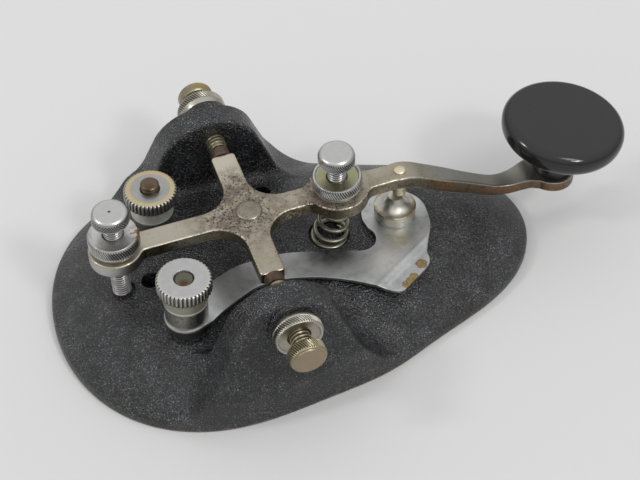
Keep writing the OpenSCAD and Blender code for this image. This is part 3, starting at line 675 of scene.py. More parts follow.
# %% [markdown]
# ## The base casting: mesh
# The surface is sampled along rays from the middle of the base. Each ray's points are spread evenly along
# the surface, not along the table, so the steep ear walls get their share. Below, rings follow the
# outline for the foot of the rim and the hollow underside.

# %% Rays over the casting
RAYS, ROWS, SAMPLES = ((470, 180, 700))
UNDER_SHELL, CAVITY_WALL, FOOT_ROUND = 3.6, 4.0, 0.4
angles = np.linspace(0, 2 * math.pi, RAYS, endpoint=False)
share = np.linspace(0, 1, SAMPLES) ** 0.8
distance = outline_radius(angles)[:, None] * share[None, :]
x = BASE_MIDDLE + distance * np.cos(angles)[:, None]
y = distance * np.sin(angles)[:, None]
height = casting_height(x, y)
steps = np.hypot(np.diff(distance, axis=1), np.diff(height, axis=1))
rays = []
for i in range(RAYS):
    travelled = np.concatenate([[0], np.cumsum(steps[i])])
    wanted = np.linspace(0, travelled[-1], ROWS)
    rays.append(np.stack([np.interp(wanted, travelled, line[i]) for line in (distance, height)], 1))
rays = np.array(rays)[:, 1:]
print("rays reach", rays[:, :, 1].max().round(2), "mm up")

# %% The casting's skin
UNDER_ROWS = [(0.0, FOOT_ROUND), (FOOT_ROUND * 0.3, FOOT_ROUND * 0.3), (FOOT_ROUND, 0.0),
              (CAVITY_WALL - 0.4, 0.0), (CAVITY_WALL - 0.1, 0.12), (CAVITY_WALL, 0.5),
              (CAVITY_WALL + 0.3, 1.6)]
UNDER_ROWS += [(d, float(dome(np.array(d))) - UNDER_SHELL) for d in (6, 7.5, 9, 11, 14, 17, 20, 24, 29.9)]


def ring(radii, heights):
    """One point on each ray."""
    around = [BASE_MIDDLE + radii * np.cos(angles), radii * np.sin(angles), 0 * radii + heights]
    return np.stack(around, 1).tolist()


points = [[BASE_MIDDLE, 0, PLATEAU]]
for row in range(rays.shape[1]):
    points += ring(rays[:, row, 0], rays[:, row, 1])
for inset, under in UNDER_ROWS:
    points += ring(outline_radius(angles) - inset / outline_cosine(angles), under)
points.append([BASE_MIDDLE, 0, PLATEAU - UNDER_SHELL])
total = rays.shape[1] + len(UNDER_ROWS)
pairs = [(i, (i + 1) % RAYS) for i in range(RAYS)]
faces = [(0, 1 + i, 1 + j) for i, j in pairs]
for row in range(total - 1):
    low, high = 1 + row * RAYS, 1 + (row + 1) * RAYS
    faces += [(low + i, high + i, high + j, low + j) for i, j in pairs]
last, bottom = 1 + (total - 1) * RAYS, len(points) - 1
faces += [(last + i, bottom, last + j) for i, j in pairs]
casting = shown("painted_casting", in_metres(points), faces, black_paint, 50)
print("casting has", len(casting.data.polygons), "faces")

# %% [markdown]
# ## The base casting: machining
# After casting, a shop drills the holes and spot-faces flat rings where nuts and the spring will sit.
# Boolean cuts do the same job here. The bosses are joined on first, one at a time. All the drills are then
# joined into one tool, because one cut through a closed mesh is quick, and crisp machined edges beside soft
# cast ones are what make it look like iron.

# %% Places and sizes of the machined features
FRONT_POST, REAR_POST, ANVIL = (-21.1, -17.6), (-20.0, 17.6), (39.2, -0.3)
BUSH_RADIUS, COLLAR_RADIUS, SLEEVE_RADIUS = 4.3, 5.3, 3.4
THREAD_RADIUS, RUNNING_GAP, PIVOT_SCREW_RADIUS = 2.38, 0.06, 2.65
MOUNTING_HOLES, MACHINED_SHARP = ((-25.7, 0), (10, 20.5), (10, -20.5)), 34
HOLE_RADIUS, SCREW_BOSS, NUT_BOSS, BOSS_TOP = 2.4, 5.0, 7.5, 11.4
NUT_POCKET, POCKET_LOW, POCKET_TOP, PAD_EDGE = 6.3, 5, 9, 0.4
EAR_SEATS, SEAT_RADIUS = {-1: 36.6, 1: 36.2}, 6.45
STOP_FACE_X, STOP_FACE, STOP_FACE_RADIUS = -33.03, 12.2, 3.2
SPRING_SEAT_X, SPRING_SEAT, SPRING_SEAT_RADIUS = 21.5, 12.5, 5.3
print("posts stand", round(math.dist(FRONT_POST, REAR_POST), 1), "mm apart")

# %% Round tools
def stepped(outline, place):
    """Points and faces of a round tool with several steps."""
    points, faces, _ = spun(outline, 64)
    return place(points), faces


def rod(radius, low, high, place):
    return stepped([(0, low), (radius, low), (radius, high), (0, high)], place)


def tool_of(name, rods):
    """One closed tool made of several rods."""
    points, faces = [], []
    for more_points, more_faces in rods:
        faces += [tuple(v + len(points) for v in face) for face in more_faces]
        points += list(more_points)
    tool = shown(name, in_metres(points), faces, black_paint)
    tidy_mesh(tool.data, 1e-7)
    return tool


def combine(piece, tool, how):
    """Cuts a tool from a piece, or joins it on, and removes the tool."""
    step = piece.modifiers.new("machining", "BOOLEAN")
    step.operation, step.solver, step.object = how, "MANIFOLD", tool
    made = baked(piece)
    piece.modifiers.clear()
    piece.data = made
    bpy.data.objects.remove(tool)


print("a mounting hole's drill has", len(rod(HOLE_RADIUS, -1, 20, upright(0, 0))[1]), "faces")

# %% Bosses
tidy_mesh(casting.data, 1e-7)
bosses = [rod(SCREW_BOSS, 0.02, BOSS_TOP, upright(*spot)) for spot in MOUNTING_HOLES]
bosses += [rod(NUT_BOSS, POCKET_TOP - 0.4, BOSS_TOP, upright(*spot))
           for spot in (REAR_POST, FRONT_POST, ANVIL)]
bosses += [rod(SEAT_RADIUS, EAR_INNER + 2, EAR_SEATS[side], on_pivot(side)) for side in (-1, 1)]
bosses += [rod(radius + PAD_EDGE, 9.5, PLATEAU, upright(*spot))
           for radius, spot in ((BUSH_RADIUS, FRONT_POST), (COLLAR_RADIUS, REAR_POST))]
for boss in bosses:
    combine(casting, tool_of("boss", [boss]), "UNION")
print("joined on", len(bosses), "bosses")

# %% Holes and flats
drills = [rod(HOLE_RADIUS, -1, 20, upright(*spot)) for spot in MOUNTING_HOLES]
for spot, bore in ((FRONT_POST, SLEEVE_RADIUS), (REAR_POST, THREAD_RADIUS), (ANVIL, SLEEVE_RADIUS)):
    bore += RUNNING_GAP
    drills.append(stepped([(0, POCKET_LOW), (NUT_POCKET, POCKET_LOW), (NUT_POCKET, POCKET_TOP),
                           (bore, POCKET_TOP), (bore, 16), (0, 16)], upright(*spot)))
drills += [rod(STOP_FACE_RADIUS, STOP_FACE, 18, upright(STOP_FACE_X, 0)),
           rod(SPRING_SEAT_RADIUS, SPRING_SEAT, 18, upright(SPRING_SEAT_X, 0))]
for side, seat in EAR_SEATS.items():
    bore = PIVOT_SCREW_RADIUS + RUNNING_GAP
    drills.append(stepped([(0, EAR_INNER - 2), (bore, EAR_INNER - 2), (bore, seat), (SEAT_RADIUS, seat),
                           (SEAT_RADIUS, seat + 8), (0, seat + 8)], on_pivot(side)))
combine(casting, tool_of("drills", drills), "DIFFERENCE")
smooth(casting.data, MACHINED_SHARP)
settle(casting, "base", "painted_casting", "base_casting")
print("machined casting has", len(casting.data.polygons), "faces")

# %% [markdown]
# ## The lever's side view
# From the side the lever is a flat bar that bends down past the contact, up again and ends in a small pad
# under the knob, thinning a little on the way. The bends are arcs, so the top and the underside are tables
# of height against x, and the flat plan made next is pressed to that shape.

# %% Heights along the lever
BEND_X, FALL, RISE, KNOB_LEAN = 39.3, -27.9, 15.0, 6.0
BEND_RADIUS, FALL_LENGTH, DIP_RADIUS, RISE_LENGTH, CREST_RADIUS = 11.6, 22.74, 11.0, 1.9, 5.0
LEVER_THICK, PAD_THICK, TILT = 2 * HALF_THICK, 3.1, math.degrees(REST_TILT)
bend = np.array([BEND_X, PIVOT_HEIGHT + HALF_THICK / math.cos(REST_TILT) + BEND_X * math.tan(REST_TILT)])
bend_middle = bend - BEND_RADIUS * across(TILT)
dip_middle = bend_middle + (BEND_RADIUS + DIP_RADIUS) * across(FALL) + FALL_LENGTH * along(FALL)
crest_middle = dip_middle - (DIP_RADIUS + CREST_RADIUS) * across(RISE) + RISE_LENGTH * along(RISE)
pad_start = crest_middle + CREST_RADIUS * across(-KNOB_LEAN)


def side_line(bar, pad):
    """The lever's top as (x, z) points, or a line below it by bar that thins to pad through the dip."""
    line = [bend - 90 * along(TILT) - bar * across(TILT)]
    for middle, radius, start, end, first, last in (
            (bend_middle, BEND_RADIUS, TILT, FALL, bar, bar),
            (dip_middle, -DIP_RADIUS, FALL, RISE, bar, pad),
            (crest_middle, CREST_RADIUS, RISE, -KNOB_LEAN, pad, pad)):
        for t in np.linspace(0, 1, 24):
            line.append(middle + (radius - first - (last - first) * t) * across(start + (end - start) * t))
    line.append(pad_start + 18 * along(-KNOB_LEAN) - pad * across(-KNOB_LEAN))
    return np.array(line)


lever_top, lever_under = side_line(0, 0), side_line(LEVER_THICK, PAD_THICK)
print("pad starts at", pad_start.round(2))

# %% [markdown]
# ## The lever's plan
# Seen from above the lever is a cross with an eye at each end of its bar for the stop and spring screws.
# Its outline is a chain of arcs with a smooth line along the handle, one half worked out and the other
# mirrored. Blender's curve objects turn such an outline into a plate with rounded edges, which is then
# sliced across and pressed to the bends.

# %% Outlines made of arcs
ARM_HALF, ARM_REACH, CROSS_FILLET = 3.1, 20.8, 7.5
STOP_X, SPRING_X, CONTACT_X = 33.4, 23.6, 40.2
PAD_X, PAD_RADIUS, ARM_CORNER = 82.7, 6.5, 1.0
BACK_EYE, BACK_FILLET = 6.7, 2.0
SPRING_EYE, SPRING_FILLET, SPRING_EYE_X = 7.8, 2.75, SPRING_X + 0.2
HANDLE_EDGE = ((38, 2.95), (40.3, 3.2), (45, 3), (52, 2.8), (58, 2.35), (62.7, 2.2), (67.7, 2.4),
               (70.7, 2.7), (73.2, 3.05), (75.7, 3.7))


def arc(middle, radius, start, end, steps=16):
    """Points on an arc, from one angle in degrees to another."""
    turn = np.radians(np.linspace(start, end, steps))
    return [(middle[0] + radius * math.cos(a), middle[1] + radius * math.sin(a)) for a in turn]


def eye_fillet(x, eye, fillet, way):
    """Middle of a fillet between the bar and an eye at x, and the angle at which it meets the eye."""
    rise = ARM_HALF + fillet
    middle = (x + way * math.sqrt((eye + fillet) ** 2 - rise**2), rise)
    return middle, math.degrees(math.atan2(middle[1], middle[0] - x))


def through(points, steps):
    """A smooth line through points, as a Catmull-Rom curve."""
    p = [np.array(q, float) for q in points]
    p = [2 * p[0] - p[1], *p, 2 * p[-1] - p[-2]]
    made = []
    for a, b, c, d in zip(p, p[1:], p[2:], p[3:]):
        for t in np.linspace(0, 1, steps, endpoint=False):
            square, cube = 2 * a - 5 * b + 4 * c - d, 3 * b - a - 3 * c + d
            made.append(tuple(0.5 * (2 * b + (c - a) * t + square * t * t + cube * t**3)))
    return [*made, tuple(p[-2])]


back_middle, back_angle = eye_fillet(-STOP_X, BACK_EYE, BACK_FILLET, 1)
near_middle, near_angle = eye_fillet(SPRING_EYE_X, SPRING_EYE, SPRING_FILLET, -1)
far_middle, far_angle = eye_fillet(SPRING_EYE_X, SPRING_EYE, SPRING_FILLET, 1)
inner = ARM_HALF + CROSS_FILLET
half = arc((-STOP_X, 0), BACK_EYE, 180, back_angle, 40)
half += arc(back_middle, BACK_FILLET, back_angle - 180, -90, 10)
half += arc((-inner, inner), CROSS_FILLET, -90, 0)
half += arc((ARM_CORNER - ARM_HALF, ARM_REACH - ARM_CORNER), ARM_CORNER, 180, 90, 6)
half += arc((ARM_HALF - ARM_CORNER, ARM_REACH - ARM_CORNER), ARM_CORNER, 90, 0, 6)
half += arc((inner, inner), CROSS_FILLET, 180, 270)
half += arc(near_middle, SPRING_FILLET, 270, near_angle + 180, 10)
half += arc((SPRING_EYE_X, 0), SPRING_EYE, near_angle, far_angle, 32)
half += arc(far_middle, SPRING_FILLET, far_angle - 180, -90, 10)
half += through(HANDLE_EDGE, 6) + arc((PAD_X, 0), PAD_RADIUS, 135, 0, 28)
lever_outline = half + [(px, -py) for px, py in half[-2:0:-1]]
print("lever outline has", len(lever_outline), "points")

# %% A plate with rounded edges
def plate(name, outline, holes, thick, edge, finish, edge_faces=3):
    """A flat plate standing on z = 0 in millimetres, as a mesh object that is scaled to metres later."""
    curve = bpy.data.curves.new(name, "CURVE")
    curve.dimensions, curve.fill_mode = "2D", "BOTH"
    curve.extrude, curve.offset = thick / 2 - edge, -edge
    curve.bevel_depth, curve.bevel_resolution = edge, edge_faces - 1
    for line in [outline, *holes]:
        spline = curve.splines.new("POLY")
        spline.points.add(len(line) - 1)
        for point, (px, py) in zip(spline.points, line):
            point.co = (px, py, 0, 1)
        spline.use_cyclic_u = True
    piece = from_curve(name, curve, finish)
    tidy_mesh(piece.data, 0.002)
    lifted = points_of(piece.data)
    lifted[:, 2] += thick / 2
    piece.data.vertices.foreach_set("co", lifted.ravel())
    return piece


print("plates get rounded edges from the curve's own bevel")

# %% Pressing a plate
EVEN_WEIGHT = 80


def slice_up(mesh, cuts):
    """Cuts a mesh with planes, each a point and a normal, so that it can bend there."""
    work = bmesh.new()
    work.from_mesh(mesh)
    for spot, normal in cuts:
        bmesh.ops.bisect_plane(work, geom=work.verts[:] + work.edges[:] + work.faces[:], dist=1e-4,
                               plane_co=spot, plane_no=normal)
    work.to_mesh(mesh)
    work.free()


def press(piece, top_of, under_of, thick, edge, sharp=38):
    """Presses a flat plate to its height tables, marks its edges and sides, and evens its shading."""
    flat = points_of(piece.data)
    low, high = flat[:, 2] < edge * 0.999, flat[:, 2] > thick - edge * 0.999
    rounded = (low & (flat[:, 2] > 1e-3)) | (high & (flat[:, 2] < thick - 1e-3))
    write_mark(piece.data, "edge", rounded)
    write_mark(piece.data, "side", ~(low | high))
    top, under = top_of(flat[:, 0], flat[:, 1]), under_of(flat[:, 0], flat[:, 1])
    flat[:, 2] = under + flat[:, 2] / thick * (top - under)
    piece.data.vertices.foreach_set("co", in_metres(flat).ravel())
    piece.data.update()
    smooth(piece.data, sharp)
    even = piece.modifiers.new("even_normals", "WEIGHTED_NORMAL")
    even.keep_sharp, even.weight = True, EVEN_WEIGHT
    made = baked(piece)
    piece.modifiers.clear()
    piece.data = made


print("plates are evened with weight", EVEN_WEIGHT)

# %% [markdown]
# ## The lever's finish
# The lever's nickel has gone a warm grey and is freckled with small soft pits, thickest at the middle of
# the cross and round the spring nut. Its upper edges are rubbed bright and carry a painted highlight, its
# sides have olive-brown patches, and along the handle the sides have gone to bare brown metal. Masks by
# place do all that.

# %% Nickel of the lever's top
nickel = Finish("lever_nickel", Metallic=1.0)
cloud, freckle, fine = nickel.noise(0.2, 5.0, 0.6), nickel.noise(1.5, 4.0, 0.68), nickel.noise(4.0, 2.0)
handle = nickel.between(nickel.axis(0), PIVOT_X + 43 * MM, PIVOT_X + 52 * MM)
crowd = nickel.sum("MAXIMUM", nickel.near((-2, 1, 30), 18), nickel.near((21, -2, 31), 15))
crowd = nickel.sum("MAXIMUM", crowd, nickel.near((0, 10, 30), 8))
top = nickel.mix(nickel.between(cloud, 0.38, 0.72), screen(172, 165, 150), screen(146, 138, 120))
top = nickel.mix(nickel.near((-2, 19, 30), 11), top, screen(202, 194, 177))
top = nickel.mix(nickel.near((-21, 0, 30), 12), top, screen(180, 174, 160))
top = nickel.mix(handle, top, nickel.mix(cloud, screen(134, 131, 124), screen(164, 161, 153)))
haze = nickel.sum("MULTIPLY", crowd, nickel.between(nickel.noise(0.45, 5.0), 0.36, 0.6))
top = nickel.mix(nickel.sum("MULTIPLY", haze, 0.85), top, screen(118, 106, 99))
spots = nickel.sum("ADD", freckle, nickel.sum("MULTIPLY", crowd, 0.125))
top = nickel.mix(nickel.between(spots, 0.64, 0.72), top, screen(76, 64, 56))
print("the top has", len(nickel.nodes), "nodes")

# %% Nickel of the lever's sides and edges
patches = nickel.sum("MAXIMUM", nickel.near((9, -4, 28), 9), nickel.near((15, -4, 28), 8))
patches = nickel.sum("MAXIMUM", patches, nickel.near((-28, -6, 28), 9))
patches = nickel.sum("MULTIPLY", patches, nickel.between(freckle, 0.38, 0.55))
side_colour = nickel.mix(nickel.between(cloud, 0.35, 0.7), screen(134, 129, 114), screen(104, 96, 78))
side_colour = nickel.mix(nickel.between(freckle, 0.52, 0.66), side_colour, screen(82, 74, 56))
side_colour = nickel.mix(patches, side_colour, screen(84, 72, 50))
rust = nickel.mix(nickel.between(cloud, 0.4, 0.62), screen(112, 98, 82), screen(132, 102, 78))
rust = nickel.mix(nickel.between(freckle, 0.5, 0.66), rust, screen(84, 70, 58))
side_colour = nickel.mix(handle, side_colour, rust)
side_colour = nickel.mix(nickel.near((-36, -5, 27), 10), side_colour, screen(184, 182, 177))
colour = nickel.mix(nickel.mark("side"), top, side_colour)
# rubbed bright edges that also carry a painted highlight along the bevels, less of it on the handle
rub_and_highlight = nickel.sum("MULTIPLY", nickel.mark("edge"), nickel.between(freckle, 0.37, 0.55, 0.8, 0.0))
rub_and_highlight = nickel.sum("MULTIPLY", rub_and_highlight, nickel.sum("SUBTRACT", 1.0, nickel.sum("MULTIPLY", handle, 0.8)))
colour = nickel.mix(rub_and_highlight, colour, screen(204, 197, 174))
rough = nickel.between(spots, 0.5, 0.7, 0.33, 0.55)
lever_nickel = nickel.wear(colour, rough, nickel.bump(fine, 0.02, over=nickel.bump(spots, 0.07, 0.5)))
print("made", lever_nickel.name)

# %% The lever
LEVER_EDGE = 0.42
screw_hole = THREAD_RADIUS + RUNNING_GAP
holes = [arc((px * math.cos(REST_TILT), 0), screw_hole, 0, 354, 60) for px in (-STOP_X, SPRING_X)]
lever = plate("lever_bar", lever_outline, holes, LEVER_THICK, LEVER_EDGE, lever_nickel)
slice_up(lever.data, [((px, 0, 0), (1, 0, 0)) for px in np.arange(36.5, 92, 0.75)])
press(lever, lambda px, py: np.interp(px, *lever_top.T), lambda px, py: np.interp(px, *lever_under.T),
      LEVER_THICK, LEVER_EDGE)
settle(lever, "lever_arm", "nickel", "lever")
print("lever has", len(lever.data.polygons), "faces")

# %% [markdown]
# ## The contact strap
# A strip of sheet nickel carries the current from the front post down past the ear to the anvil, where it
# is stiffened by a slanting crease. It is made as the lever is, as a thin plate pressed to a height
# function: a smoothed ramp, less a soft step across the crease. Its plate is clouded, with painted shade
# under the lever's spring eye and along the lines of the crease, and at its front corner it has worn
# through to brass in a few patches.

# %% Nickel of the strap
sheet = Finish("strap_nickel", Metallic=1.0)
cloud, fine = sheet.noise(0.12, 3.0, 0.5), sheet.noise(2.2, 4.0, 0.6)
mottle = sheet.noise(0.4, 3.0, 0.6)
colour = sheet.mix(sheet.between(cloud, 0.35, 0.7), screen(194, 195, 195), screen(168, 169, 170))
colour = sheet.mix(sheet.between(mottle, 0.5, 0.68, 0.0, 0.5), colour, screen(146, 147, 147))
colour = sheet.mix(sheet.between(fine, 0.7, 0.8), colour, screen(104, 102, 98))
# painted shade along the lines of the crease, broken up by noise
crease_shade = sheet.sum("MULTIPLY", sheet.mark("crease"), sheet.between(fine, 0.36, 0.6, 0.15, 0.5))
colour = sheet.mix(crease_shade, colour, screen(112, 112, 106))
# painted shade on the strap under the lever's spring eye, beside the spring
shade_under_eye = sheet.sum("MULTIPLY", sheet.near((19.5, -5, 15.5), 10), sheet.between(mottle, 0.3, 0.6, 0.7, 1.0))
colour = sheet.mix(shade_under_eye, colour, screen(78, 79, 80))
colour = sheet.mix(sheet.sum("MULTIPLY", sheet.near((33, -15, 15), 9), 0.4), colour, screen(206, 207, 206))
yellow = sheet.sum("MULTIPLY", sheet.near((37, -8, 15.5), 5), sheet.between(mottle, 0.4, 0.6, 0.0, 0.6))
colour = sheet.mix(yellow, colour, screen(184, 174, 128))
bare = sheet.near((39.8, -17.9, 14.8), 2.4)
for spot in ((33.9, -23.1, 14.8), (35.2, -22.2, 14.8), (36.6, -21.2, 14.8)):
    bare = sheet.sum("MAXIMUM", bare, sheet.near(spot, radius=1.9))
bare = sheet.sum("ADD", bare, sheet.sum("MULTIPLY", sheet.noise(1.3, 5.0, 0.7), 1.1))
colour = sheet.mix(sheet.between(bare, 0.98, 1.08), colour, screen(116, 107, 84))
brassy = sheet.mix(sheet.between(fine, 0.4, 0.6), screen(160, 148, 100), screen(142, 114, 84))
colour = sheet.mix(sheet.between(bare, 1.1, 1.24), colour, brassy)
rough = sheet.between(fine, 0.4, 0.75, 0.4, 0.52)
strap_nickel = sheet.wear(colour, rough, sheet.bump(fine, 0.008, over=sheet.bump(cloud, 0.2, 0.5)))
print("made", strap_nickel.name)

# %% Outline of the strap
STRAP_TOP, STRAP_THICK, STRAP_EDGE, EYE_TOP = 15.5, 0.9, 0.16, 19.1
POST_EYE, ANVIL_PAD, NECK, NECK_RADIUS = 5.6, 8.5, (28, -5.4), 4.0
REAR_EDGE = ((-17.6, -11.2), (-12.1, -9), (-6, -5.6), (-0.3, -3.8), (7.1, -3.6), (14.5, -5.3), (22, -7.6),
             (26.6, -9.2))
FRONT_EDGE = ((47.4, -3.2), (46.9, -6), (45.7, -8.6), (42.9, -14), (42.6, -16.2), (41.9, -18),
              (40.3, -19.5), (37, -21.7), (33.6, -23.9), (32, -24.4), (30.3, -24.0), (28.3, -22.6),
              (24.6, -20), (20.8, -17.5), (14.1, -14.2), (5.7, -11.9), (-0.3, -12.1), (-5, -14.3),
              (-10.5, -18), (-15.7, -21.6))
strap_outline = arc(FRONT_POST, POST_EYE, 300, 112, 40) + through(REAR_EDGE, 8)
strap_outline += arc(NECK, NECK_RADIUS, 258, 400, 20) + arc(ANVIL, ANVIL_PAD, 176, -10, 44)
strap_outline += through(FRONT_EDGE, 5)
print("strap outline has", len(strap_outline), "points")

# %% The strap
RAMP_START, RAMP_END, RAMP_SMOOTHING = -13.6, 0.8, (-1.6, -0.8, 0, 0.8, 1.6)
CREASE, CREASE_START, CREASE_WIDTH, CREASE_DROP = along(-57.8), 31.9, 2.9, 0.7
CREASE_LINES = ((31.9, 0.4, 1), (32.6, 0.9, 0.4), (33.4, 0.3, 0.8))


def strap_height(px, py):
    ramp = sum(np.interp(px + s, (RAMP_START, RAMP_END), (EYE_TOP, STRAP_TOP)) for s in RAMP_SMOOTHING)
    over = np.clip((px * CREASE[0] + py * CREASE[1] - CREASE_START) / CREASE_WIDTH, 0, 1)
    return ramp / len(RAMP_SMOOTHING) - CREASE_DROP * over * over * (3 - 2 * over)


holes = [arc(spot, THREAD_RADIUS + 0.15, 0, 354, 60) for spot in (FRONT_POST, ANVIL)]
strap = plate("contact_strap_sheet", strap_outline, holes, STRAP_THICK, STRAP_EDGE, strap_nickel, 2)
cuts = [((px, 0, 0), (1, 0, 0)) for px in np.arange(-15.6, 3.2, 0.6)]
cuts += [(tuple(CREASE * far) + (0,), (*CREASE, 0)) for far in np.arange(31.2, 35.6, 0.2)]
slice_up(strap.data, cuts)
press(strap, strap_height, lambda px, py: strap_height(px, py) - STRAP_THICK, STRAP_THICK, STRAP_EDGE, 30)
local = (points_of(strap.data) - np.array([PIVOT_X, 0, 0])) / MM
past = local[:, 0] * CREASE[0] + local[:, 1] * CREASE[1]
fade = np.clip((46 - local[:, 0]) / 9, 0, 1)
# the crease mark: where the strap's finish paints shade along the lines of the crease
lines = sum(strength * np.exp(-((past - at) / wide) ** 2) for at, wide, strength in CREASE_LINES)
write_mark(strap.data, "crease", np.minimum(1, fade * lines))
settle(strap, "base", "sheet_nickel", "contact_strap")
print("strap has", len(strap.data.polygons), "faces")

# %% [markdown]
# ## Binding posts and thumb nuts
# Wires are clamped under two thumb nuts. Each stands on a collar of its post, and has a plain foot, a
# coarse straight-toothed rim and a flat top. The front post stands on a black bush that keeps it off the
# base. The teeth are relief of the spun outline, like the threads, and they run out over the top edge.

# %% Thumb nut outline
NUT_RADIUS, THUMB_RADIUS, TEETH, TOOTH_DEPTH = 6.35, 6.75, 40, 0.3
THUMB_HIGH, THUMB_FOOT, THUMB_NECK, THUMB_STEP = 7.9, 5.45, 4.95, 4.4
NUT_BORE = THREAD_RADIUS + RUNNING_GAP
LAND_RISE, LAND_START = 2.6, 0.55


def teeth_relief(angle, z, r):
    """Straight teeth with flat lands, cut into everything outside the foot."""
    land = np.clip(wave(TEETH * angle / (2 * math.pi)) * LAND_RISE - LAND_START, 0, 1)
    reach = np.clip((r - (THUMB_RADIUS - 0.55)) / 0.3, 0, 1) * np.clip((z - THUMB_STEP) / 0.2, 0, 1)
    return -TOOTH_DEPTH * reach * (1 - land)


def thumb_outline():
    """A foot that flares to its seat, a toothed wall and a rounded rim."""
    wall = [(THUMB_RADIUS, z) for z in np.linspace(THUMB_STEP + 0.4, THUMB_HIGH - 0.6, 6)]
    corners = [(NUT_BORE, 0), (THUMB_FOOT - 0.05, 0), (THUMB_FOOT, 0.35), (THUMB_NECK, THUMB_STEP - 0.05),
               (THUMB_RADIUS - 0.3, THUMB_STEP + 0.1)]
    rim = [(THUMB_RADIUS - 0.08, THUMB_HIGH - 0.36), (THUMB_RADIUS - 0.28, THUMB_HIGH - 0.12),
           (THUMB_RADIUS - 0.55, THUMB_HIGH - 0.01)]
    bore = [(THUMB_RADIUS - 1.0, THUMB_HIGH), (NUT_BORE + 0.13, THUMB_HIGH), (NUT_BORE, THUMB_HIGH - 0.13)]
    return soften(corners, 0.2) + wall + rim + soften(bore, 0.05)


print("thumb nut outline has", len(thumb_outline()), "points")

# %% Finishes of the thumb nuts
FACE_SHADE = 26


def nut_finish(name, face, ring_colour, ring_start, foot_colour, lip_highlight_colour, dirt_and_shade):
    """Plated nut with a rubbed ring on its top, a darkened foot and a painted highlight along the lip at
    its seat.
    """
    metal, colour, rough, normal = worn_metal(name, screen(176, 175, 173), screen(146, 142, 130),
                                              roughness=0.28, stains=0.3, pits=0.1)
    upper = metal.above(THUMB_HIGH - 0.5, THUMB_HIGH - 0.1)
    shaded = screen(*(c - FACE_SHADE for c in face))
    colour = metal.mix(upper, colour, metal.mix(metal.noise(0.45, 4.0), screen(*face), shaded))
    smear = metal.sum("ADD", metal.mark("turn_r"), metal.sum("MULTIPLY", metal.noise(1.3, 4.0), 0.8))
    inner = metal.between(smear, ring_start + 0.3, ring_start + 0.7)
    outer = metal.inside(THUMB_RADIUS - 0.6, THUMB_RADIUS - 0.4)
    ring = metal.sum("MULTIPLY", metal.sum("MULTIPLY", inner, outer), upper)
    colour = metal.mix(ring, colour, ring_colour)
    low_part = metal.below(THUMB_STEP - 0.3, THUMB_STEP + 0.1)
    foot = metal.mix(metal.noise(0.7, 4.0), foot_colour, screen(150, 148, 138))
    colour = metal.mix(low_part, colour, foot)
    # painted highlight: a bluish-white line along the lower lip of the foot
    lip_highlight = metal.sum("MULTIPLY", metal.below(0.3, 0.8), low_part)
    colour = metal.mix(lip_highlight, colour, lip_highlight_colour)
    plain = metal.sum("SUBTRACT", 1.0, metal.sum("MULTIPLY", low_part, 0.55))
    return metal.wear(metal.groove_dirt_and_shade(colour, dirt_and_shade), rough, normal, plain)


# each nut's groove colour is dirt and painted shade, and its lip colour a painted highlight
THUMB_FINISHES = {
    "front": nut_finish("front_nut_plate", face=(196, 196, 196), ring_colour=screen(190, 188, 182),
                        ring_start=5.6, foot_colour=screen(132, 128, 98), lip_highlight_colour=screen(208, 214, 224),
                        dirt_and_shade=screen(78, 73, 56)),
    "rear": nut_finish("rear_nut_plate", face=(180, 180, 178), ring_colour=screen(198, 183, 144),
                       ring_start=4.95, foot_colour=screen(206, 208, 196), lip_highlight_colour=screen(214, 220, 220),
                       dirt_and_shade=screen(98, 93, 72)),
}
print("made", len(THUMB_FINISHES), "nut finishes")

# %% Posts and thumb nuts
FRONT_COLLAR, REAR_COLLAR = (19.1, 24.6), (PLATEAU, 19.8)
FRONT_STUD_TOP, REAR_STUD_TOP, STUD_END = 32.3, 29.7, 2.6


def post_outline(collar, low, high):
    """A stud, plain below its collar and threaded above it, with a domed end."""
    foot = soften([(0, low), (THREAD_RADIUS - 0.3, low), (THREAD_RADIUS, low + 0.4),
                   (THREAD_RADIUS, collar[0]), (COLLAR_RADIUS, collar[0]), (COLLAR_RADIUS, collar[1]),
                   (THREAD_RADIUS, collar[1])], 0.3)
    rows = thread_rows(THREAD_RADIUS, collar[1] + 0.2, high - 0.5)
    end = [(THREAD_RADIUS, high - 0.4), (THREAD_RADIUS - 0.35, high - 0.08), (0, high)]
    return foot[:-1] + rows + soften(end, 0.2)


def post_finish(name, spot, collar, high, stud_colour, stud_stain):
    """Plated collar with a painted highlight along its lower rim, and a browner stud stained on one side of
    its end.
    """
    metal, colour, rough, normal = worn_metal(name + "_post_steel", screen(164, 163, 156),
                                              screen(112, 106, 84), roughness=0.28, stains=0.45, pits=0.6)
    stud = metal.inside(THREAD_RADIUS - 0.1, THREAD_RADIUS + 0.25)
    stain = metal.near((spot[0] - 0.4, spot[1] - 1.7, high), 2.2)
    colour = metal.mix(stud, colour, metal.mix(stain, stud_colour, stud_stain))
    # painted highlight: a pale band round the collar's lower edge
    colour = metal.mix(metal.below(collar[0] + 0.5, collar[0] + 0.9), colour, screen(196, 196, 192))
    return metal.wear(colour, rough, normal)


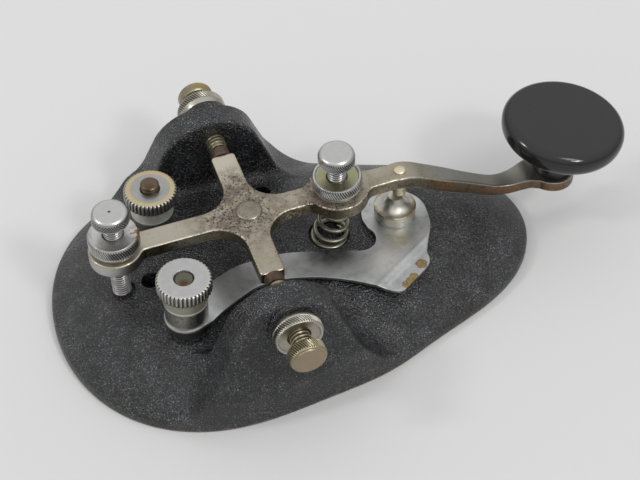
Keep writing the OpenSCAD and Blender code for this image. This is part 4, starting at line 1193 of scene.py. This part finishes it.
for name, spot, collar, low, high, stud_colours in (
        ("front", FRONT_POST, FRONT_COLLAR, STUD_END, FRONT_STUD_TOP, ((104, 103, 92), (88, 68, 54))),
        ("rear", REAR_POST, REAR_COLLAR, STUD_END + 1.2, REAR_STUD_TOP, ((108, 93, 78), (92, 76, 62)))):
    place = upright(*spot)
    finish = post_finish(name, spot, collar, high, *(screen(*shade) for shade in stud_colours))
    post = turned(name + "_post", post_outline(collar, low, high), place, finish,
                  relief=thread(THREAD_RADIUS, [(collar[1], high - 0.3)], 0.3))
    settle(post, "base", "steel", "binding_post_" + name)
    nut = turned(name + "_thumb_nut", [(r, z + collar[1]) for r, z in thumb_outline()], place,
                 THUMB_FINISHES[name], steps=TEETH * 10, loop=True,
                 relief=lambda angle, z, r, foot=collar[1]: teeth_relief(angle, z - foot, r))
    heights = points_of(nut.data)[:, 2] / MM - collar[1]
    nut.data.attributes["turn_z"].data.foreach_set("value", heights.astype(np.float32))
    settle(nut, "binding_nut_" + name + "_body", "steel", "binding_nut_" + name)

# %% [markdown]
# ## Lock nuts and adjusting screws
# Round lock nuts with fine slanting knurls hold every screw where it was set. The stop screw's nut is
# flat on top, and the others are sunk inside a raised rim. The screws are long studs with round knurled
# heads, and their threads show between head and nut and, on the stop screw, under the lever.

# %% Lock nut outlines
NUT_TEETH, PIVOT_NUT_TEETH, BEVEL_HIGH, SUNK = 62, 58, 1.9, 0.5


def nut_outline(bore, radius, low, high, bevel, top):
    """Outline of a round nut and the band of its knurl; top leads over the upper face to the bore."""
    band = (low + BEVEL_HIGH, high + 0.01)
    lower = soften([(bore, low), (radius - bevel, low), (radius, band[0] - 0.05)], 0.15)
    wall = [(radius, z) for z in np.linspace(band[0] - 0.02, high - 0.6, 11)]
    return lower + wall + soften([(radius, high - 0.56), *top], 0.14), band


def flat_nut(bore, radius, low, high):
    top = [(radius - 0.5, high), (bore + 0.35, high), (bore, high - 0.35)]
    return nut_outline(bore, radius, low, high, 1.05, top)


def sunk_nut(bore, radius, low, high):
    """A nut whose top face is sunk inside a raised rim."""
    face = high - SUNK
    top = [(radius - 0.4, high), (radius - 0.85, high), (radius - 1.15, face), (bore + 0.3, face),
           (bore, face - 0.3)]
    return nut_outline(bore, radius, low, high, 0.8, top)


low, high = flat_nut(NUT_BORE, NUT_RADIUS, 0, 5.1)[1]
print("a flat nut's knurl is", round(high - low, 2), "mm high")

# %% Lock nut helpers
def knurled_nut(name, outline, place, finish, radius, teeth, band, slant):
    """A nut whose widest wall carries a knurl that leans by slant ridges over its height."""
    return turned(name, outline, place, finish, steps=teeth * 4, loop=True,
                  relief=knurl(radius, *band, teeth), twist=slanted(*band, teeth, slant))


def lock_finish(name, radius, face, face_low, chips=None, plate=screen(192, 192, 190)):
    """Plated lock nut with a stained top face, dark grooves and, if asked, chipped plate at one side."""
    metal, colour, rough, normal = worn_metal(name, plate, screen(148, 144, 128),
                                              roughness=0.27, stains=0.3, pits=0.12)
    inside = metal.inside(radius - 1.4, radius - 1.0)
    upper = metal.above(face_low - 0.4, face_low - 0.1)
    stained = metal.mix(metal.noise(0.9, 4.0), *face)
    colour = metal.mix(metal.sum("MULTIPLY", inside, upper), colour, stained)
    if chips:
        spot, size = chips
        ragged = metal.between(metal.noise(0.8, 3.0), 0.42, 0.52)
        patch = metal.sum("MULTIPLY", metal.near(spot, size), ragged)
        colour = metal.mix(patch, colour, screen(140, 112, 72))
    return metal.wear(metal.groove_dirt_and_shade(colour, screen(62, 59, 50)), rough, normal)


print("fine knurls have", NUT_TEETH, "and", PIVOT_NUT_TEETH, "ridges")

# %% The lock nuts
NUT_TOPS, STOP_NUT_TOP, SPRING_NUT_TOP = {-1: 40.6, 1: 40.9}, HALF_THICK + 5.1, HALF_THICK + 4.5
CHIPPED_PLATE = ((-27.9, -1.8, 34), 3.6)
outline, band = flat_nut(NUT_BORE, NUT_RADIUS, HALF_THICK, STOP_NUT_TOP)
finish = lock_finish("stop_nut_plate", NUT_RADIUS, (screen(206, 206, 208), screen(190, 189, 186)),
                     STOP_NUT_TOP, CHIPPED_PLATE)
stop_nut = knurled_nut("stop_screw_lock_nut", outline, on_lever(-STOP_X), finish,
                       NUT_RADIUS, NUT_TEETH, band, -2.2)
settle(stop_nut, "stop_lock_nut_body", "steel", "stop_lock_nut")
outline, band = sunk_nut(NUT_BORE, NUT_RADIUS, HALF_THICK, SPRING_NUT_TOP)
finish = lock_finish("spring_nut_plate", NUT_RADIUS, (screen(172, 170, 140), screen(150, 147, 114)),
                     SPRING_NUT_TOP - SUNK)
spring_nut = knurled_nut("spring_screw_lock_nut", outline, on_lever(SPRING_X), finish,
                         NUT_RADIUS, NUT_TEETH, band, -1.9)
settle(spring_nut, "spring_lock_nut_body", "steel", "spring_lock_nut")
for side, name, radius in ((-1, "front", 6.1), (1, "rear", NUT_RADIUS)):
    outline, band = sunk_nut(PIVOT_SCREW_RADIUS + RUNNING_GAP, radius, EAR_SEATS[side], NUT_TOPS[side])
    finish = lock_finish(name + "_pivot_nut_plate", radius, (screen(178, 174, 162), screen(150, 145, 128)),
                         NUT_TOPS[side] - SUNK, plate=screen(176, 173, 162))
    nut = knurled_nut(name + "_pivot_lock_nut", outline, on_pivot(side), finish,
                      radius, PIVOT_NUT_TEETH, band, -2)
    settle(nut, "pivot_lock_nut_" + name + "_body", "steel", "pivot_lock_nut_" + name)

# %% Heads and threads of the adjusting screws
HEAD_RADIUS, HEAD_HIGH, HEAD_KNURL = 4.6, 3.4, 0.38
STOP_HEAD_TOP, SPRING_HEAD_TOP, THREAD_DEPTH = 14.7, 14.4, 0.4
UNDER_LEVER = -HALF_THICK + 0.2
STOP_REACH = (PIVOT_HEIGHT - STOP_X * math.sin(REST_TILT) - STOP_FACE - RUNNING_GAP) / math.cos(REST_TILT)


def head(low, high, end):
    """Outline of a round head from its underside to its top; end closes it at the axis."""
    wall = [(HEAD_RADIUS, z) for z in np.linspace(low + 0.4, high - 1.15, 12)]
    under = soften([(THREAD_RADIUS, low - 0.02), (THREAD_RADIUS + 0.01, low), (HEAD_RADIUS - 0.35, low),
                    (HEAD_RADIUS, low + HEAD_KNURL)], 0.12)
    shoulder = [(HEAD_RADIUS, high - 1.1), (HEAD_RADIUS - 0.3, high - 0.4), (HEAD_RADIUS - 0.8, high), *end]
    return under[2:] + wall + soften(shoulder, 0.8)


def screw_steel(name, top, dimple):
    """Bright screw steel with a whiter head face, darker grooves and, if asked, painted shade in its centre
    dimple.
    """
    metal, colour, rough, normal = worn_metal(name, screen(182, 182, 182), screen(138, 134, 122),
                                              roughness=0.26, stains=0.25, pits=0.1)
    face = metal.above(top - 0.45, top - 0.1)
    white = metal.mix(metal.noise(0.6, 3.0), screen(200, 200, 200), screen(184, 184, 182))
    colour = metal.mix(face, colour, white)
    if dimple:
        # painted shade inside the small centre dimple of the head
        colour = metal.mix(metal.inside(0.2, 0.45), colour, screen(54, 50, 46))
    return metal.wear(metal.groove_dirt_and_shade(colour, screen(60, 57, 50)), rough, normal)


def stud(point, tip, over_nut, top, end):
    """An adjusting screw: its outline from point to head, and the relief of its two threaded spans."""
    low = top - HEAD_HIGH
    outline = point + thread_rows(THREAD_RADIUS, tip + 0.1, UNDER_LEVER, FINE_PITCH)
    outline += thread_rows(THREAD_RADIUS, over_nut, low, FINE_PITCH) + head(low, top, end)
    return outline, thread(THREAD_RADIUS, [(tip, UNDER_LEVER), (over_nut, low)], THREAD_DEPTH, FINE_PITCH)


print("stop screw reaches", round(STOP_REACH, 2), "mm below the lever's middle")

# %% The stop screw
STOP_HEAD_TEETH = 40
tip = 1.2 - STOP_REACH
point = [(0, -STOP_REACH), (1.5, -STOP_REACH), (THREAD_RADIUS, tip)]
hollow = [(0.32, STOP_HEAD_TOP), (0, STOP_HEAD_TOP - 0.3)]
outline, grooves = stud(soften(point, 0.3), tip, STOP_NUT_TOP - 0.3, STOP_HEAD_TOP, hollow)
low, high = STOP_HEAD_TOP - HEAD_HIGH + 0.4, STOP_HEAD_TOP - 0.5
stop = turned("stop_screw_stud", outline, on_lever(-STOP_X),
              screw_steel("stop_screw_steel", STOP_HEAD_TOP, dimple=True), steps=STOP_HEAD_TEETH * 6,
              relief=both(grooves, knurl(HEAD_RADIUS, low, high, STOP_HEAD_TEETH, crossed=1.1)))
settle(stop, "stop_screw_body", "steel", "stop_screw")

# %% The spring screw
SPRING_HEAD_TEETH = 52
tip = -HALF_THICK - 0.9
point = [(0, tip - 1.2), (1.45, tip - 1.2), (1.85, tip - 0.8), (1.85, tip), (THREAD_RADIUS, tip)]
outline, grooves = stud(soften(point, 0.12), tip, SPRING_NUT_TOP - SUNK, SPRING_HEAD_TOP,
                        [(0, SPRING_HEAD_TOP)])
low, high = SPRING_HEAD_TOP - HEAD_HIGH + HEAD_KNURL, SPRING_HEAD_TOP - 0.9
spring_screw = turned("spring_screw_stud", outline, on_lever(SPRING_X),
                      screw_steel("spring_screw_steel", SPRING_HEAD_TOP, dimple=False),
                      steps=SPRING_HEAD_TEETH * 4,
                      relief=both(grooves, knurl(HEAD_RADIUS, low, high, SPRING_HEAD_TEETH)),
                      twist=slanted(low, high, SPRING_HEAD_TEETH, -2.3))
settle(spring_screw, "spring_screw_body", "steel", "spring_screw")

# %% [markdown]
# ## Pivot screws and pins
# Each pivot screw is brass, with a cup in its inner end for the lever's steel pin and a knurled head
# outside the lock nut. Between ear and lever its thread shows, then a smooth nose, then the pin's rusty
# collar in the end of the lever's arm.

# %% Brass of the pivot screws
def pivot_brass(name, side, top, yellow):
    """Tarnished brass with a pinker head face, dark grooves and a yellow patch of a given strength."""
    brass, colour, rough, normal = worn_metal(name + "_pivot_brass", screen(160, 152, 128),
                                              screen(122, 114, 84), roughness=0.3, stains=0.45, pits=0.15)
    face = brass.above(top - 0.12, top - 0.03)
    pink = brass.mix(brass.noise(0.5, 3.0), screen(164, 148, 128), screen(148, 132, 110))
    colour = brass.mix(face, colour, pink)
    patch = brass.sum("MULTIPLY", brass.near((1.5, side * top, PIVOT_HEIGHT + 3), 4), yellow)
    colour = brass.mix(patch, colour, screen(190, 164, 96))
    return brass.wear(brass.groove_dirt_and_shade(colour, screen(62, 54, 40)), rough, normal)


print("pivot screws are", 2 * PIVOT_SCREW_RADIUS, "mm thick")

# %% Outline of the pivot screws
PIVOT_END, CUP_BOTTOM, PIVOT_HEADS = 23.9, 25.08, {-1: 47.6, 1: 46.4}
PIN_HOLE, PIN_COLLAR, PIN_SHOULDER, PIN_POINT = 1.18, 2.4, 23.6, 25
SCREW_TEETH, INNER_DEPTH, OUTER_DEPTH = 48, 0.09, 0.3


def pivot_screw_outline(nut_top, low, top):
    """From the cup in the inner end, past two threaded spans, to the stepped head."""
    nose = [(0, CUP_BOTTOM), (CUP_BOTTOM - PIVOT_END, PIVOT_END), (2.3, PIVOT_END), (2.3, PIVOT_END + 1.35),
            (PIVOT_SCREW_RADIUS, PIVOT_END + 1.5)]
    rows = thread_rows(PIVOT_SCREW_RADIUS, PIVOT_END + 1.6, 29.8)
    rows += thread_rows(PIVOT_SCREW_RADIUS, nut_top - 1.0, low - 0.1)
    under = [(PIVOT_SCREW_RADIUS, low - 0.1), (PIVOT_SCREW_RADIUS, low), (HEAD_RADIUS - 0.3, low),
             (HEAD_RADIUS, low + HEAD_KNURL)]
    wall = [(HEAD_RADIUS, z) for z in np.linspace(low + 0.4, top - 0.9, 10)]
    crown = [(HEAD_RADIUS, top - 0.85), (HEAD_RADIUS - 0.35, top - 0.35), (HEAD_RADIUS - 0.7, top - 0.35),
             (HEAD_RADIUS - 0.85, top), (0, top)]
    return soften(nose, 0.12) + rows + soften(under, 0.12) + wall + soften(crown, 0.12)


pin_outline = soften([(0, 13), (PIN_HOLE, 13), (PIN_HOLE, ARM_REACH + 0.02), (PIN_COLLAR, ARM_REACH + 0.02),
                      (PIN_COLLAR, PIN_SHOULDER - 0.2), (2.1, PIN_SHOULDER), (1.4, PIN_SHOULDER),
                      (0, PIN_POINT)], 0.12)
print("pin points stop", round(CUP_BOTTOM - PIN_POINT, 2), "mm short of the cups")

# %% Pivot screws and pins
for side, name, yellow, ridge in ((-1, "front", 0.0, 0.26), (1, "rear", 0.8, 0.12)):
    top = PIVOT_HEADS[side]
    low = top - HEAD_HIGH
    inner, outer = (PIVOT_END + 1.5, 29.5), (NUT_TOPS[side] - 0.8, low)
    band = (low + HEAD_KNURL, top - 0.6)
    screw = turned(name + "_pivot_screw", pivot_screw_outline(NUT_TOPS[side], low, top), on_pivot(side),
                   pivot_brass(name, side, top, yellow), steps=SCREW_TEETH * 4,
                   relief=both(thread(PIVOT_SCREW_RADIUS, [inner], INNER_DEPTH),
                               thread(PIVOT_SCREW_RADIUS, [outer], OUTER_DEPTH),
                               knurl(HEAD_RADIUS, *band, SCREW_TEETH, ridge)),
                   twist=slanted(*band, SCREW_TEETH, -1.8))
    settle(screw, "pivot_screw_" + name + "_body", "brass", "pivot_screw_" + name)
    pin = turned(name + "_pivot_pin", pin_outline, on_pivot(side), rusty, steps=64)
    settle(pin, "lever_arm", "rusty_steel", "pivot_pin_" + name)

# %% [markdown]
# ## Contacts, rivets and the spring
# Current passes from a contact riveted through the lever's neck to the anvil, a trumpet-shaped post. A
# domed rivet head marks the middle of the cross. The spring is a tapering coil of wire, which is a curve
# with a round bevel following the CAD model's path.

# %% The anvil
ANVIL_RADIUS, ANVIL_RING, TIP_RADIUS = 5.4, 19.2, 1.8
CONTACT_DROP, CONTACT_GAP = 5.95, 0.8
ANVIL_TOP = PIVOT_HEIGHT + CONTACT_X * math.sin(REST_TILT) - CONTACT_DROP - CONTACT_GAP
metal, colour, rough, normal = worn_metal("anvil_nickel", screen(200, 198, 190), screen(150, 146, 130),
                                          roughness=0.31, stains=0.45, pits=0.1)
tarnish = metal.sum("MULTIPLY", metal.above(ANVIL_RING - 0.5, ANVIL_RING - 0.25),
                    metal.below(ANVIL_RING - 0.05, ANVIL_RING + 0.1))
tarnish = metal.sum("MULTIPLY", tarnish, metal.between(metal.noise(0.3), 0.42, 0.56))
anvil_nickel = metal.wear(metal.mix(tarnish, colour, screen(150, 128, 86)), rough, normal)
flare = [(TIP_RADIUS + (ANVIL_RADIUS - 0.25 - TIP_RADIUS) * (1 - math.sin(a)),
          ANVIL_RING + (ANVIL_TOP - ANVIL_RING) * (1 - math.cos(a)))
         for a in np.linspace(0, math.pi / 2, 20)]
outline = soften([(0, STUD_END), (THREAD_RADIUS - 0.4, STUD_END), (THREAD_RADIUS, STUD_END + 0.4),
                  (THREAD_RADIUS, STRAP_TOP), (ANVIL_RADIUS - 0.1, STRAP_TOP),
                  (ANVIL_RADIUS - 0.1, ANVIL_RING - 0.6), (ANVIL_RADIUS, ANVIL_RING - 0.45),
                  (ANVIL_RADIUS, ANVIL_RING - 0.1), (ANVIL_RADIUS - 0.2, ANVIL_RING)], 0.08)[:-1]
anvil = turned("anvil_post", [*outline, *flare, (0, ANVIL_TOP)], upright(*ANVIL), anvil_nickel, steps=128)
settle(anvil, "base", "nickel", "contact_anvil")

# %% The upper contact
contact_metal = plain_worn("contact_nickel", screen(222, 212, 184), screen(190, 178, 148),
                           roughness=0.38, stains=0.35, pits=0.1)
shank = soften([(0, -CONTACT_DROP), (1.75, -CONTACT_DROP), (1.8, -HALF_THICK), (1.1, -HALF_THICK),
                (1.1, HALF_THICK), (1.55, HALF_THICK)], 0.1)
crown = [(1.55, 0.12), (1.4, 0.3), (1.0, 0.42), (0, 0.45)]
outline = shank + [(r, HALF_THICK + z) for r, z in crown]
contact = turned("lever_contact", outline, on_lever(CONTACT_X), contact_metal)
settle(contact, "lever_arm", "nickel", "upper_contact")

# %% The centre rivet
RIVET_X, RIVET_HOLE, RIVET_RADIUS = 0.6, 1.5, 3.35
metal, colour, rough, normal = worn_metal("rivet_nickel", screen(146, 140, 128), screen(112, 102, 88),
                                          roughness=0.32, stains=0.5, pits=0.55)
foot = metal.below(HALF_THICK + 0.15, HALF_THICK + 0.35)
rivet_nickel = metal.wear(metal.mix(foot, colour, screen(206, 200, 186)), rough, normal)
outline = [(0, -HALF_THICK), (RIVET_HOLE, -HALF_THICK), (RIVET_HOLE, HALF_THICK),
           (RIVET_RADIUS - 0.05, HALF_THICK), (RIVET_RADIUS, HALF_THICK + 0.1)]
outline += [(RIVET_RADIUS - 0.12 * k * k, HALF_THICK + 0.1 + 0.56 * math.sin(k * math.pi / 6))
            for k in (1, 2, 3)]
rivet = turned("cross_rivet", [*outline, (0, HALF_THICK + 0.7)], on_lever(RIVET_X), rivet_nickel)
settle(rivet, "lever_arm", "nickel", "centre_rivet")

# %% The spring
WIRE_RADIUS, COIL_FOOT, COIL_TOP, TURNS, COIL_START = 0.58, 4.4, 2.5, 5.1, 40
COIL_LOW, COIL_HIGH, LEVER_TRAVEL = SPRING_SEAT + WIRE_RADIUS + 0.02, 25.4, math.radians(1.1)


def coil_point(turn):
    """A point on the wire's middle line, rising slowly at both ends and narrowing upwards."""
    t = turn / TURNS
    rise = 0.16 * t + 0.84 * t * t * (3 - 2 * t)
    z = COIL_LOW + (COIL_HIGH - COIL_LOW) * rise
    r = COIL_FOOT + (COIL_TOP - COIL_FOOT) * rise**1.5
    a = math.radians(COIL_START - 360 * turn)
    lean = SPRING_SEAT_X + (SPRING_X + 0.1 - SPRING_SEAT_X) * rise
    return lean + r * math.cos(a), r * math.sin(a), z


path = bpy.data.curves.new("coil", "CURVE")
path.dimensions, path.use_fill_caps = "3D", True
path.bevel_depth, path.bevel_resolution = WIRE_RADIUS * MM, 4
line = path.splines.new("POLY")
coil = in_metres([coil_point(t) for t in np.linspace(0, TURNS, 260)])
line.points.add(len(coil) - 1)
for point, spot in zip(line.points, coil):
    point.co = (*spot, 1)
spring = from_curve("spring_wire", path, spring_steel)
tidy_mesh(spring.data)
smooth(spring.data, 50)
settle(spring, "base", "spring_wire", "lever_spring")
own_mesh(spring)

# %% [markdown]
# ## The knob
# The knob is black moulded composition, polished by use: a flat disc on a short stem, its edge fully
# rounded by two quarter ovals. Turning it from one outline gives the long clean highlight round its edge.
# Its surface is nearly perfect, with only faint scuffs and dust.

# %% Place of the knob
KNOB_RADIUS, KNOB_THICK, KNOB_MIDDLE = 15.83, 6.5, np.array([84.85, 31.35])
UPPER_ROLL, UPPER_DROP = 2.5, 2.4
UNDER_ROLL, UNDER_RISE = 2.9, 3.6
STEM_RADIUS, KNOB_BORE = 5.2, 1.95
axis = across(-KNOB_LEAN)
stem = float((KNOB_MIDDLE - pad_start) @ axis)
foot_x, foot_z = KNOB_MIDDLE - stem * axis
lean = math.radians(KNOB_LEAN)


def on_knob(p):
    """The knob's own axes: its stem stands on the pad and leans towards the hand."""
    c, s = math.cos(lean), math.sin(lean)
    return np.stack([foot_x + p[:, 0] * c + p[:, 2] * s, p[:, 1], foot_z - p[:, 0] * s + p[:, 2] * c], 1)


print("knob stem is", round(stem - KNOB_THICK / 2, 2), "mm long")

# %% The knob
disc_low, disc_high = stem - KNOB_THICK / 2, stem + KNOB_THICK / 2
flat = KNOB_RADIUS - UNDER_ROLL
outline = soften([(KNOB_BORE, 0.0), (STEM_RADIUS, 0), (STEM_RADIUS, disc_low), (flat, disc_low)], 0.3)
outline += [(flat + UNDER_ROLL * math.sin(a), disc_low + UNDER_RISE * (1 - math.cos(a)))
            for a in np.linspace(0.08, math.pi / 2, 16)]
flat = KNOB_RADIUS - UPPER_ROLL
outline += [(flat + UPPER_ROLL * math.cos(a), disc_high - UPPER_DROP * (1 - math.sin(a)))
            for a in np.linspace(0, math.pi / 2 - 0.06, 16)]
outline += [(flat, disc_high), (flat - 0.6, disc_high), (0, disc_high)]
polish = Finish("knob_polish", IOR=1.5)
scuff, haze = polish.noise(1.8, 3.0, stretch=(1.0, 0.3, 1.0)), polish.noise(0.15, 3.0)
colour = polish.mix(polish.between(scuff, 0.72, 0.8), screen(27, 27, 28), screen(74, 70, 64))
knob_polish = polish.wear(colour, polish.between(haze, 0.3, 0.75, 0.12, 0.2),
                          polish.bump(scuff, 0.003, over=polish.bump(haze, 0.2, 0.4)))
knob = turned("finger_knob", outline, on_knob, knob_polish, steps=160)
settle(knob, "lever_arm", "knob_black", "knob")

# %% [markdown]
# ## Pieces that keep their CAD shape
# The bush, insulators, washers, hexagon nuts and the knob's screw are simple and mostly hidden, so their
# CAD shapes stay and only get finishes.

# %% Finishes for the plain pieces
moulded = Finish("black_moulding")
cloud, fine = moulded.noise(0.4, 4.0), moulded.noise(3.0, 3.0)
colour = moulded.mix(cloud, screen(26, 25, 24), screen(44, 42, 39))
black_moulding = moulded.wear(colour, moulded.between(fine, 0.3, 0.7, 0.35, 0.55), moulded.bump(fine, 0.03))
for finish, nodes in ((black_moulding, ("front_post_bush", "anvil_insulator", "insulating_washers")),
                      (nut_steel, ("terminal_washers", "terminal_nuts", "knob_screw"))):
    for node in nodes:
        dress(frame["nodes"][node].data, finish)
print("dressed six CAD nodes")

# %% [markdown]
# ## Studio
# The photograph was taken on a pale sheet under soft light, with two faint shadows of each tall piece: one
# behind it and one to its right. So the sky is a pale dome, brighter above than at the sides, one soft lamp
# stands in front, a weaker one on the left, and a wide one overhead draws the highlights along the edges.
# The sheet's colour is a little paler towards the back, which is painted light standing in for the stronger
# light there.

# %% Floor
FLOOR_REACH = 1.6
pale = Finish("pale_sheet", Roughness=0.9)
# painted light: the floor colour grows paler towards the back
far = pale.between(pale.axis(1), -0.1, 0.12)
pale_sheet = pale.wear(pale.mix(far, screen(203, 203, 203), screen(209, 209, 209)))
corners = [(x * FLOOR_REACH, y * FLOOR_REACH, 0) for x, y in ((-1, -1), (1, -1), (1, 1), (-1, 1))]
floor = shown("floor", corners, [(0, 1, 2, 3)], pale_sheet)
print("floor is", 2 * FLOOR_REACH, "m wide")

# %% Sky
SKY_LOW, SKY_HIGH = 0.40, 0.93
world = bpy.data.worlds.new("soft_sky")
bpy.context.scene.world = world
world.use_nodes = True
tree = world.node_tree
sky = tree.nodes["Background"]
direction = tree.nodes.new("ShaderNodeTexCoord")
split = tree.nodes.new("ShaderNodeSeparateXYZ")
grade = tree.nodes.new("ShaderNodeMapRange")
grade.interpolation_type = "SMOOTHSTEP"
for socket, value in (("From Min", -0.05), ("From Max", 0.9), ("To Min", SKY_LOW), ("To Max", SKY_HIGH)):
    grade.inputs[socket].default_value = value
tree.links.new(direction.outputs["Generated"], split.inputs["Vector"])
tree.links.new(split.outputs["Z"], grade.inputs["Value"])
tree.links.new(grade.outputs["Result"], sky.inputs["Strength"])
sky.inputs["Color"].default_value = (1.0, 1.0, 1.0, 1.0)
print("sky strength runs from", SKY_LOW, "to", SKY_HIGH)

# %% Lamps
LAMP_TARGET = Vector((0, 0, 0.01))
LAMPS = (("front_lamp", (0.30, -0.66, 0.82), 0.15, 2.3), ("left_lamp", (-0.80, 0.11, 0.74), 0.15, 1.9),
         ("overhead", (0.26, -0.40, 1.10), 0.30, 1.5))
for name, spot, size, watts in LAMPS:
    light = bpy.data.lights.new(name, "AREA")
    light.size, light.energy = size, watts
    holder = bpy.data.objects.new(name, light)
    holder.location = spot
    holder.rotation_mode = "QUATERNION"
    holder.rotation_quaternion = (LAMP_TARGET - Vector(spot)).to_track_quat("-Z", "Y")
    bpy.context.scene.collection.objects.link(holder)
print("hung", len(LAMPS), "lamps")

# %% [markdown]
# ## Finish
# The picture's colours are kept plain.

# %% Keep the colours plain
bpy.context.scene.view_settings.view_transform = "Standard"
